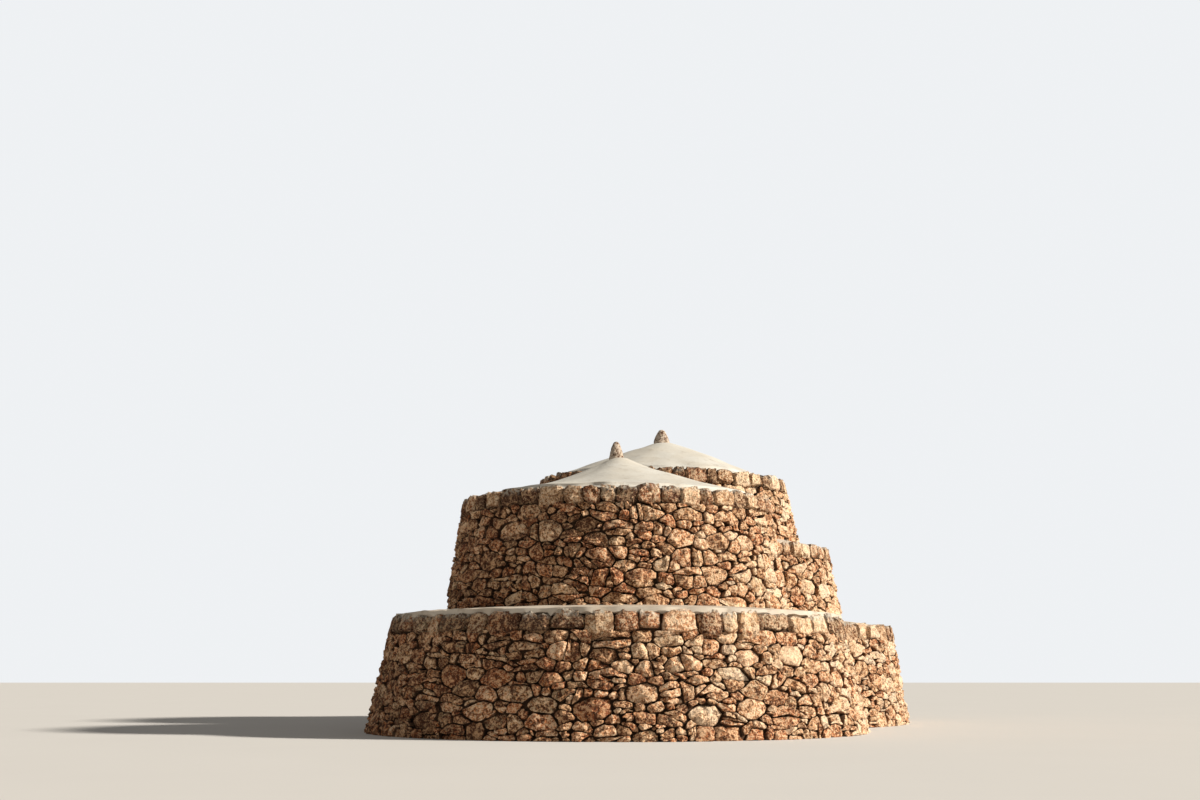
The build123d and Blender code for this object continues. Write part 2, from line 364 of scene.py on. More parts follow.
@dataclass(frozen=True)
class LimestoneFinish:
    """Pitted limestone that varies from stone to stone, with rust, lichen and spilt lime.

    Each stone's tone (its own, plus painted sunlight on the right side and painted shade on the
    left), warmth and lichen come from the mesh's colour attribute "stone", whose alpha falls from
    1 on the face to 0 in the joint, where painted shade darkens the stones' sides. The attribute
    "spill" is 1 where lime runs down from above. Pale crusting with a painted highlight lies on
    the bump's peaks and raised specks, earthy dirt with painted shade in its hollows and sunken
    specks, and painted shade in the pits.
    """

    name: str
    warm: tuple[Colour, ...] = (
        (0.19, 0.056, 0.023), (0.41, 0.127, 0.047), (0.66, 0.234, 0.090),
        (0.86, 0.425, 0.205), (0.95, 0.66, 0.43),
    )
    cool: tuple[Colour, ...] = (
        (0.125, 0.056, 0.026), (0.30, 0.134, 0.055), (0.54, 0.258, 0.108),
        (0.80, 0.485, 0.262), (0.95, 0.76, 0.56),
    )
    # Pale crusting with a painted highlight on the raised bumps, and below it the duller copy for
    # dark and painted-shaded stones.
    crust_and_highlight: Colour = (0.97, 0.73, 0.49)
    dull_crust_and_highlight: Colour = (0.82, 0.50, 0.275)
    # Earthy dirt with painted shade, for the bump's hollows and sunken specks.
    earth_and_shade: Colour = (0.085, 0.029, 0.012)
    # The painted shade of the joints on pale and lit stones: a brown seam.
    seam: Colour = (0.235, 0.085, 0.029)
    rust: Colour = (0.56, 0.178, 0.040)
    lichen: Colour = (0.47, 0.44, 0.29)
    lime: Colour = (0.74, 0.68, 0.57)
    # Near black: painted shade for the pits and joints, and the colour that dims stones.
    near_black: Colour = (0.034, 0.015, 0.007)
    warmth_bias: float = 0.0
    tone_bias: float = 0.0
    rust_share: float = 0.75
    lichen_share: float = 0.50
    specks: float = 0.55
    dimmed: float = 0.0
    relief: float = 0.055

    def build(self) -> Any:
        """The material."""
        sheet = Sheet.material(self.name)
        tone, warmth, growth, face = sheet.attribute("stone")
        # How pale a stone's tone is: its own tone together with the painted sunlight and shade of
        # its side. The painted shade and the dimming below lighten on pale and lit stones.
        pale_lit_share = tone.ramp(0.45, 1.15)
        spill = sheet.attribute("spill")[0]
        broad = sheet.noise(0.12, 4.0, 0.62)
        knobs = sheet.noise(0.085, 5.0, 0.65, 3.0).ramp(0.36, 0.64)
        grain = sheet.noise(0.040, 4.0, 0.7, 7.0).ramp(0.36, 0.64)
        pick = (tone * 0.95 + broad * 0.95 - 0.445 + self.tone_bias).clamped()
        cool = sheet.tint(pick, self._stops(self.cool))
        warm = sheet.tint(pick, self._stops(self.warm))
        base = sheet.mix((warmth + self.warmth_bias).ramp(0.10, 0.85), cool, warm)
        rusty = sheet.noise(0.10, 5.0, 0.65, 11.0).ramp(0.46, 0.60) * warmth.ramp(0.45, 0.9)
        grown = sheet.noise(0.05, 6.0, 0.7, 17.0).ramp(0.48, 0.58) * growth.ramp(0.35, 0.9)
        rough = knobs * 0.52 + grain * 0.48
        # The crusting and its painted highlight are duller on dark and painted-shaded stones.
        crust_and_highlight = sheet.mix(tone.ramp(0.0, 0.8), self.dull_crust_and_highlight, self.crust_and_highlight)
        specks = sheet.noise(0.026, 3.0, 0.7, 41.0)
        hollows = sheet.noise(0.06, 3.0, 0.6, 29.0).ramp(0.46, 0.6)
        pits = sheet.cells(0.024).ramp(0.42, 0.12) * hollows
        # The painted shade of the joints: near black on dark and shaded stones, a brown seam on
        # pale and lit ones.
        deep = sheet.mix(pale_lit_share, self.near_black, self.seam)
        runs = sheet.noise(0.045, 4.0, 0.6, 37.0).ramp(0.40, 0.60)
        base = sheet.layered(base, (
            (rusty * (1 - pale_lit_share * 0.7) * self.rust_share, self.rust),
            (grown * self.lichen_share, self.lichen),
            # Pale crusting with a painted highlight on the bump's peaks.
            (rough.ramp(0.53, 0.65) * (0.66 + tone * 0.22), crust_and_highlight),
            # Earthy dirt with painted shade in the bump's hollows, less on pale and lit stones.
            (rough.ramp(0.44, 0.31) * (0.95 - pale_lit_share * 0.50), self.earth_and_shade),
            # Specks: pale crusting with a painted highlight on the raised ones, earthy dirt with
            # painted shade on the sunken ones.
            (specks.ramp(0.53, 0.62) * self.specks * (0.8 + tone * 0.2), crust_and_highlight),
            (specks.ramp(0.47, 0.38) * self.specks * (1.1 - pale_lit_share * 0.48), self.earth_and_shade),
            # Painted shade in the pits, lighter on pale and lit stones.
            (pits * (0.85 - pale_lit_share * 0.4), self.near_black),
            # Painted shade down the stones' sides into the joints, with some earthy dirt.
            ((1 - face.ramp(0.0, 0.62)) * (0.74 + broad * 0.3).clamped(), deep),
            ((spill.ramp(0.1, 1.0) * 1.3 * runs).clamped() * 0.85, self.lime),
            # Darkens the whole stone by the dimmed share, less on pale stones and on the
            # painted-lit side.
            ((1 - pale_lit_share * 0.85) * self.dimmed, self.near_black),
        ))
        height = broad * 0.33 + knobs * 0.34 + grain * 0.16 + specks * 0.16 - pits * 0.20
        return sheet.finish(base, 0.82 + grain * 0.14, height, self.relief)

    def _stops(self, colours: Sequence[Colour]) -> list[tuple[float, Colour]]:
        """Spreads colours evenly from dark to light.

        Args:
            colours: The colours.

        Returns:
            Each with its place from 0 to 1.
        """
        return [(index / (len(colours) - 1), colour) for index, colour in enumerate(colours)]


@dataclass(frozen=True)
class LimeFinish:
    """Lime wash over a rough render: off-white, faintly stained and trowelled."""

    name: str
    white: Colour = (0.61, 0.595, 0.545)
    cream: Colour = (0.565, 0.53, 0.46)
    dust: Colour = (0.42, 0.375, 0.31)
    relief: float = 0.016

    def build(self) -> Any:
        """The material."""
        sheet = Sheet.material(self.name)
        cloud = sheet.noise(0.60, 4.0, 0.55)
        drift = sheet.noise(0.16, 5.0, 0.6, 5.0)
        grain = sheet.noise(0.012, 4.0, 0.7, 9.0)
        marks = sheet.noise(0.055, 5.0, 0.7, 13.0)
        base = sheet.layered(sheet.mix(cloud.ramp(0.35, 0.7), self.white, self.cream), (
            (drift.ramp(0.53, 0.72) * 0.6, self.dust),
            (grain.ramp(0.6, 0.72) * 0.3, self.dust),
            (marks.ramp(0.56, 0.70) * drift.ramp(0.40, 0.6) * 0.62, self.dust),
        ))
        height = cloud * 0.22 + drift * 0.42 + grain * 0.16 + marks * 0.20
        return sheet.finish(base, 0.72 + drift * 0.2, height, self.relief)


@dataclass(frozen=True)
class CoursedFinish:
    """Flat-bedded masonry drawn on a plain surface: stones, joints and a split skin."""

    name: str
    width: float = 0.30
    flatness: float = 2.3
    dark: Colour = (0.05, 0.037, 0.028)
    brown: Colour = (0.26, 0.17, 0.11)
    light: Colour = (0.50, 0.37, 0.25)
    relief: float = 0.030

    def build(self) -> Any:
        """The material."""
        sheet = Sheet.material(self.name)
        beds = sheet.stretched(1, 1, self.flatness)
        joint = sheet.cells(self.width, "DISTANCE_TO_EDGE", 0.85, beds).ramp(0.02, 0.09)
        tone = sheet.cells(self.width, "F1", 0.85, beds)
        mottle = sheet.noise(0.06, 6.0, 0.65)
        fine = sheet.noise(0.012, 4.0, 0.7, 7.0)
        base = sheet.mix((mottle * 0.9 + tone * 0.5 - 0.25).clamped(), self.brown, self.light)
        base = sheet.mix(joint, self.dark, base)
        height = joint * 0.6 + mottle * 0.3 + fine * 0.1
        return sheet.finish(base, 0.85 + fine * 0.1, height, self.relief)


@dataclass(frozen=True)
class DressedFinish:
    """Roughly dressed stone without joints: a picked face with stains."""

    name: str
    brown: Colour = (0.27, 0.18, 0.115)
    light: Colour = (0.50, 0.38, 0.26)
    stain: Colour = (0.13, 0.09, 0.06)
    relief: float = 0.010

    def build(self) -> Any:
        """The material."""
        sheet = Sheet.material(self.name)
        mottle = sheet.noise(0.10, 6.0, 0.65)
        picks = sheet.cells(0.018).ramp(0.1, 0.6)
        stains = sheet.noise(0.25, 4.0, 0.6, 5.0).ramp(0.52, 0.68)
        base = sheet.mix(mottle.ramp(0.3, 0.7), self.brown, self.light)
        base = sheet.mix(stains * 0.5, base, self.stain)
        return sheet.finish(base, 0.84 + mottle * 0.1, picks * 0.5 + mottle * 0.5, self.relief)


@dataclass(frozen=True)
class HeartingFinish:
    """The rubble filling deep in the joints, painted near black as shade, with some earthy dirt.
    """

    name: str
    dark: Colour = (0.034, 0.018, 0.010)
    earth_and_shade: Colour = (0.095, 0.048, 0.024)
    relief: float = 0.02

    def build(self) -> Any:
        """The material."""
        sheet = Sheet.material(self.name)
        mottle = sheet.noise(0.06, 5.0, 0.65)
        base = sheet.mix(mottle.ramp(0.35, 0.7), self.dark, self.earth_and_shade)
        return sheet.finish(base, 0.9 + mottle * 0.05, mottle, self.relief)


# Measuring the frame


def points_of(node: str) -> np.ndarray:
    """The vertices of a CAD node.

    Args:
        node: The node's name.

    Returns:
        One row of x, y and z for each vertex.
    """
    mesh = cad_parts[node].data
    flat = np.zeros(len(mesh.vertices) * 3)
    mesh.vertices.foreach_get("co", flat)
    return flat.reshape(-1, 3)


def nodes_like(start: str) -> list[str]:
    """The names of the CAD nodes that start in one way, in order."""
    return sorted(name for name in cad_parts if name.startswith(start))


def plan_middle(node: str) -> Point:
    """The middle of a CAD node's box in plan."""
    low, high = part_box(node)
    return (low.x + high.x) / 2, (low.y + high.y) / 2


def faces_of(node: str) -> list[list[int]]:
    """The faces of a CAD node, by vertex number."""
    return [list(face.vertices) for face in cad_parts[node].data.polygons]


def plan_reach(points: np.ndarray, middle: Point) -> np.ndarray:
    """How far points lie from an upright axis.

    Args:
        points: Points, with x and y first along the last axis.
        middle: The axis in plan.

    Returns:
        One distance for each point.
    """
    return np.hypot(points[..., 0] - middle[0], points[..., 1] - middle[1])


def circle_ways(count: int) -> np.ndarray:
    """Directions in plan that lie evenly round a circle.

    Args:
        count: How many there are.

    Returns:
        One row of x and y for each.
    """
    turn = np.linspace(0, FULL_TURN, count, endpoint=False)
    return np.stack([np.cos(turn), np.sin(turn)], axis=1)


@dataclass(frozen=True)
class Tier:
    """A battered round of wall, measured on the frame."""

    x: float
    y: float
    bottom: float
    top: float
    foot_radius: float
    top_radius: float

    @classmethod
    def measured(cls, middle: Point, walls: Sequence[str], cap: str) -> "Tier":
        """Measures a tier.

        Args:
            middle: Its middle in plan.
            walls: The wall nodes, whose foot is the tier's foot.
            cap: The cap course, whose top is the tier's top.

        Returns:
            The tier.
        """
        foot = np.vstack([points_of(name) for name in walls])
        crest = points_of(cap)
        bottom, top = foot[:, 2].min(), crest[:, 2].max()
        low = foot[np.abs(foot[:, 2] - bottom) < TOUCH]
        high = crest[np.abs(crest[:, 2] - top) < TOUCH]
        radii = [float(plan_reach(points, middle).max()) for points in (low, high)]
        return cls(*middle, float(bottom), float(top), *radii)

    @property
    def middle(self) -> Point:
        """Its middle in plan."""
        return self.x, self.y

    @property
    def slope(self) -> float:
        """How far the face leans in for each metre of height."""
        return (self.foot_radius - self.top_radius) / (self.top - self.bottom)

    @property
    def mean_radius(self) -> float:
        """The radius half way up, at which arcs are measured."""
        return (self.foot_radius + self.top_radius) / 2

    @property
    def girth(self) -> float:
        """The length round the tier at its mean radius."""
        return FULL_TURN * self.mean_radius

    def radius(self, height: Any) -> Any:
        """The face's radius at one height or many."""
        return self.foot_radius - self.slope * (height - self.bottom)

    def painted_side_light(self, around: np.ndarray, most: float = 0.42, least: float = -0.14) -> np.ndarray:
        """How much paler stones are painted on the lamp-lit right side, as painted sunlight, and
        how much darker on the left, as painted shade.

        Args:
            around: Arc lengths at the mean radius.
            most: What it adds to a tone on the lit side.
            least: What it adds on the shaded side.

        Returns:
            What is added to each tone.
        """
        side = np.cos(around / self.mean_radius)
        return np.maximum(side, 0) * most - np.minimum(side, 0) * least

    def place(self, around: np.ndarray, height: np.ndarray, out: np.ndarray) -> np.ndarray:
        """Puts wall places in space.

        Args:
            around: Arc lengths at the mean radius.
            height: Heights.
            out: Distances out of the face, which are negative behind it.

        Returns:
            The points, with x, y and z along the last axis.
        """
        angle = around / self.mean_radius
        lean = math.atan(self.slope)
        reach = self.radius(height) + out * math.cos(lean)
        rise = np.maximum(height + out * math.sin(lean), self.bottom)
        return np.stack(
            [self.x + reach * np.cos(angle), self.y + reach * np.sin(angle), rise], axis=-1
        )

    def holds(self, points: np.ndarray, inset: float) -> np.ndarray:
        """Whether points lie deep inside the tier.

        Args:
            points: One row of x, y and z for each point.
            inset: How deep behind the face counts.

        Returns:
            One truth value for each point.
        """
        level = (points[..., 2] > self.bottom - inset) & (points[..., 2] < self.top + TOUCH)
        return level & (plan_reach(points, self.middle) < self.radius(points[..., 2]) - inset)

    def on_face(self, points: np.ndarray) -> np.ndarray:
        """Whether points lie on the tier's face.

        Args:
            points: One row of x, y and z for each point.

        Returns:
            One truth value for each point.
        """
        return plan_reach(points, self.middle) > self.radius(points[:, 2]) - NEAR_FACE

    def set_back(self, points: np.ndarray, depth: float) -> np.ndarray:
        """Moves the points on the tier's face inwards.

        Args:
            points: One row of x, y and z for each point, which changes.
            depth: How far they move.

        Returns:
            Which of them moved.
        """
        moved = self.on_face(points)
        steps = points[moved, :2] - self.middle
        points[moved, :2] -= steps / plan_reach(points[moved], self.middle)[:, None] * depth
        return moved


def uncovered(hubs: np.ndarray, drums: Sequence[Tier], depth: float) -> np.ndarray:
    """Which stones no other drum buries.

    Args:
        hubs: The stones' middles.
        drums: The other drums' tiers.
        depth: How deep in them a stone is left out.

    Returns:
        One truth value for each stone.
    """
    shown = np.ones(len(hubs), bool)
    for drum in drums:
        shown &= ~drum.holds(hubs, depth)
    return shown


# Meshes


def place_object(name: str, data: Any) -> Any:
    """Puts a new object in the scene.

    Args:
        name: Its name.
        data: Its mesh, lamp or camera.

    Returns:
        The object.
    """
    placed = bpy.data.objects.new(name, data)
    bpy.context.scene.collection.objects.link(placed)
    return placed


@dataclass
class Heap:
    """Vertices and faces that gather into one piece."""

    points: list[np.ndarray] = field(default_factory=list)
    tones: list[np.ndarray] = field(default_factory=list)
    faces: list[list[int]] = field(default_factory=list)
    kinds: list[int] = field(default_factory=list)
    spills: list[np.ndarray] = field(default_factory=list)
    count: int = 0

    def add(
        self,
        points: np.ndarray,
        tones: np.ndarray,
        faces: Sequence[Sequence[int]],
        kinds: int | list[int],
        spill: np.ndarray | None = None,
    ) -> None:
        """Adds a mesh.

        Args:
            points: One row of x, y and z for each vertex.
            tones: One row of four values for each vertex.
            faces: Faces by vertex number.
            kinds: The place of their material on the piece, for all of them or each.
            spill: How much lime runs over each vertex, or none at all.
        """
        self.faces.extend([self.count + i for i in face] for face in faces)
        self.kinds.extend([kinds] * len(faces) if isinstance(kinds, int) else kinds)
        self.points.append(points)
        self.tones.append(tones)
        self.spills.append(np.zeros(len(points)) if spill is None else spill)
        self.count += len(points)

    def add_copies(
        self,
        points: np.ndarray,
        tones: np.ndarray,
        template: Sequence[Sequence[int]],
        kind: int,
        spill: np.ndarray | None = None,
    ) -> None:
        """Adds many forms that share their faces.

        Args:
            points: The vertices, as form by vertex by axis.
            tones: Four values for each of them, in the same order.
            template: The faces of one form.
            kind: The place of their material on the piece.
            spill: How much lime runs over each vertex, or none at all.
        """
        forms, size = points.shape[:2]
        faces = []
        for form in range(forms):
            start = form * size
            faces.extend([start + i for i in face] for face in template)
        spilt = None if spill is None else spill.ravel()
        self.add(points.reshape(-1, 3), tones.reshape(-1, 4), faces, kind, spilt)

    def piece(
        self,
        name: str,
        slot: Slot,
        materials: Sequence[Any],
        replaced: Sequence[str],
        crisp: float = 22.0,
    ) -> None:
        """Turns the heap into a piece on the house.

        Args:
            name: The piece's name.
            slot: The record's slot for its finish. It is not used.
            materials: Its materials, in the order of the faces' kinds.
            replaced: The CAD nodes that it stands for.
            crisp: The angle in degrees over which an edge stays sharp.
        """
        mesh = bpy.data.meshes.new(name)
        mesh.from_pydata(np.vstack(self.points).tolist(), [], self.faces)
        layer = mesh.color_attributes.new("stone", "FLOAT_COLOR", "POINT")
        layer.data.foreach_set("color", np.vstack(self.tones).astype(np.float32).ravel())
        wet = mesh.color_attributes.new("spill", "FLOAT_COLOR", "POINT")
        spilt = np.concatenate(self.spills).astype(np.float32)
        wet.data.foreach_set("color", np.repeat(spilt, 4))
        for material in materials:
            mesh.materials.append(material)
        mesh.polygons.foreach_set("material_index", self.kinds)
        mesh.polygons.foreach_set("use_smooth", [True] * len(self.faces))
        mesh.validate()
        mesh.update()
        mesh.set_sharp_from_angle(angle=math.radians(crisp))
        piece = place_object(name, mesh)
        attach(piece, BODY)
        if replaced:
            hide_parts(*replaced)
        triangles = sum(len(face) - 2 for face in self.faces)
        log.info("%s: %d triangles", name, triangles)


def ripple(
    points: np.ndarray, size: float, rng: np.random.Generator, waves: int = 9
) -> np.ndarray:
    """Smooth lumps in space, from crossing waves.

    Args:
        points: Points, with their axes last.
        size: The rough width of a lump in metres.
        rng: Where the waves' directions come from.
        waves: How many waves cross.

    Returns:
        A value from about -1 to 1 for each point.
    """
    total = np.zeros(points.shape[:-1])
    for _ in range(waves):
        way = rng.normal(size=points.shape[-1])
        way *= rng.uniform(0.6, 1.7) * math.pi / size / np.linalg.norm(way)
        total += np.sin(points @ way + rng.uniform(0, FULL_TURN))
    return total / math.sqrt(waves) * 0.9


def clip(outline: list[Point], across: float, up: float, limit: float) -> list[Point]:
    """Cuts a convex outline along a line.

    Args:
        outline: Its corners in order.
        across: The first part of the line's normal.
        up: The second part.
        limit: How far along the normal the outline may reach.

    Returns:
        The corners that are left.
    """
    kept: list[Point] = []
    count = len(outline)
    for index in range(count):
        here, after = outline[index], outline[(index + 1) % count]
        here_over = here[0] * across + here[1] * up - limit
        after_over = after[0] * across + after[1] * up - limit
        if here_over <= 0:
            kept.append(here)
        if (here_over < 0 < after_over) or (after_over < 0 < here_over):
            share = here_over / (here_over - after_over)
            step = after[0] - here[0], after[1] - here[1]
            kept.append((here[0] + share * step[0], here[1] + share * step[1]))
    return kept


def blunted(
    outline: Sequence[Point], chamfer: float, count: int, rng: np.random.Generator
) -> np.ndarray:
    """Gives an outline a set number of points: blunt corners and slightly crooked sides.

    Args:
        outline: Its corners in order.
        chamfer: How far from a square corner its two points lie, more at an acute one.
        count: How many points come back.
        rng: Where the crookedness comes from.

    Returns:
        One row for each point.
    """
    corners = [np.array(corner) for corner in outline]
    while len(corners) > count // 2:
        sides = [np.hypot(*(corners[i] - corners[i - 1])) for i in range(len(corners))]
        short = int(np.argmin(sides))
        corners[short] = (corners[short] + corners[short - 1]) / 2
        del corners[short - 1]
    points = []
    for index, corner in enumerate(corners):
        before = corners[index - 1] - corner
        after = corners[(index + 1) % len(corners)] - corner
        lengths = np.hypot(*before), np.hypot(*after)
        wedge = math.sqrt(max(1 - before @ after / (lengths[0] * lengths[1]), 0.05) / 2)
        for step, length in zip((before, after), lengths):
            away = min(chamfer * rng.uniform(0.4, 1.6) * 0.75 / wedge, length * 0.36)
            points.append(corner + step / length * away)
    while len(points) < count:
        steps = [points[(i + 1) % len(points)] - points[i] for i in range(len(points))]
        sides = [np.hypot(*step) for step in steps]
        long = int(np.argmax(sides))
        start, end = points[long], points[(long + 1) % len(points)]
        along = (end - start) / sides[long]
        bow = np.array([along[1], -along[0]]) * rng.normal(0, 0.03) * sides[long]
        points.insert(long + 1, (start + end) / 2 + bow)
    return np.array(points)


@dataclass(frozen=True)
class RubbleLayout:
    """How rubble tiles a strip of wall: many sizes, wider than high, in rough beds.

    The outlines are the cells of a power diagram over stones thrown in from the
    largest to the smallest. Many are then split into slabs, wedges and chinking.
    """

    length: float
    bottom: float
    top: float
    sizes: tuple[float, ...] = (0.155, 0.128, 0.104, 0.083, 0.066, 0.052)
    shares: tuple[float, ...] = (0.12, 0.30, 0.6, 1.0, 1.0, 0.8)
    flatness: float = 1.84
    spacing: float = 0.84
    joint: float = 0.009
    tries: float = 9.0
    ease: float = 0.22
    bed: float = 0.19
    bed_pull: float = 0.45
    whole: float = 0.20
    split_chance: float = 0.25
    thinnest: float = 0.050
    deepest: int = 2
    foot_room: float = 0.85
    top_room: float = 0.8
    size_spread: tuple[float, float] = (0.9, 1.1)
    farthest: float = 7.0
    neighbours: int = 24
    slab_chance: float = 0.50
    chink_chance: float = 0.80
    middle_cut: tuple[float, float] = (0.32, 0.68)
    side_cut: tuple[float, float] = (0.18, 0.34)

    def seeds(self, rng: np.random.Generator) -> tuple[np.ndarray, np.ndarray]:
        """Throws in the stones' middles.

        Args:
            rng: Where the places come from.

        Returns:
            The middles, in widths shrunk by the flatness, and the stones' half heights.
        """
        width = self.length / self.flatness
        middles = np.zeros((0, 2))
        halves = np.zeros(0)
        for size, share in zip(self.sizes, self.shares):
            room = width * (self.top - self.bottom) / (size * size * 4)
            for _ in range(int(room * self.tries * share)):
                place = np.array([rng.uniform(0, width), rng.uniform(self.bottom, self.top)])
                lowest = self.bottom + size * self.foot_room
                place[1] = min(max(place[1], lowest), self.top - size * self.top_room)
                if len(middles):
                    gap = np.abs(middles - place)
                    gap[:, 0] = np.minimum(gap[:, 0], width - gap[:, 0])
                    if (np.hypot(gap[:, 0], gap[:, 1]) < (halves + size) * self.spacing).any():
                        continue
                middles = np.vstack([middles, place])
                halves = np.append(halves, size * rng.uniform(*self.size_spread))
        return middles, halves

    def cells(
        self, middles: np.ndarray, halves: np.ndarray, joint: float
    ) -> list[list[Point]]:
        """The power diagram's cells about the stones' middles.

        Args:
            middles: The stones' middles.
            halves: Their half heights.
            joint: How wide a gap stays between them.

        Returns:
            The corners of each cell, from its stone's middle. A cell can be empty.
        """
        width = self.length / self.flatness
        weights = halves**2
        found = []
        for (across, up), weight, half in zip(middles, weights, halves):
            steps = middles - (across, up)
            steps[:, 0] = (steps[:, 0] + width / 2) % width - width / 2
            gaps = np.hypot(steps[:, 0], steps[:, 1])
            reach = half * self.farthest
            outline = [(-reach, -reach), (reach, -reach), (reach, reach), (-reach, reach)]
            outline = clip(outline, 0, -1, up - self.bottom)
            outline = clip(outline, 0, 1, self.top - up)
            for other in np.argsort(gaps)[1:self.neighbours]:
                gap = gaps[other]
                limit = (gap * gap + weight - weights[other]) / (2 * gap) - joint / 2
                outline = clip(outline, steps[other, 0] / gap, steps[other, 1] / gap, limit)
                if len(outline) < 3:
                    outline = []
                    break
            found.append(outline)
        return found

    def outlines(self, rng: np.random.Generator) -> list[list[Point]]:
        """The stones' outlines.

        Args:
            rng: Where the places come from.

        Returns:
            For each stone its corners, as arc length and height.
        """
        middles, halves = self.seeds(rng)
        wander = ripple(middles[:, :1], 1.2, rng)
        for _ in range(2):
            for index, outline in enumerate(self.cells(middles, halves, 0)):
                if outline:
                    middles[index] += np.mean(outline, axis=0) * self.ease
            course = FULL_TURN * (middles[:, 1] - self.bottom) / self.bed + wander
            middles[:, 1] += np.sin(course) * self.bed / FULL_TURN * self.bed_pull
        stones = []
        for (across, up), outline in zip(middles, self.cells(middles, halves, self.joint)):
            if outline:
                stone = [((across + a) * self.flatness, up + b) for a, b in outline]
                stones += self.split(stone, rng)
        return stones

    def split(
        self, outline: list[Point], rng: np.random.Generator, depth: int = 0
    ) -> list[list[Point]]:
        """Splits a stone into slabs, halves or a stone and its chink, or leaves it whole.

        Args:
            outline: Its corners.
            rng: Where the chances come from.
            depth: How often it has been split before.

        Returns:
            The corners of each part.
        """
        points = np.array(outline)
        width, height = np.ptp(points, axis=0)
        large = math.sqrt(width * height) - self.whole
        if depth > self.deepest or large < -0.05:
            return [outline]
        if rng.uniform() > self.split_chance + large * 3:
            return [outline]
        chance = rng.uniform() + (0.35 if width > height * 2.4 else 0)
        cut = self.middle_cut
        if chance < self.slab_chance:
            turn = math.pi / 2 + rng.normal(0, 0.16)
        elif chance < self.chink_chance:
            turn = rng.uniform(0, FULL_TURN)
            cut = self.side_cut
        else:
            turn = rng.normal(0, 0.3)
        across, up = math.cos(turn), math.sin(turn)
        reach = points @ (across, up)
        limit = reach.min() + np.ptp(reach) * rng.uniform(*cut)
        parts = [
            clip(outline, across, up, limit - self.joint / 2),
            clip(outline, -across, -up, -limit - self.joint / 2),
        ]
        for part in parts:
            if len(part) < 3 or np.ptp(np.array(part), axis=0).min() < self.thinnest:
                return [outline]
        return [smaller for part in parts for smaller in self.split(part, rng, depth + 1)]


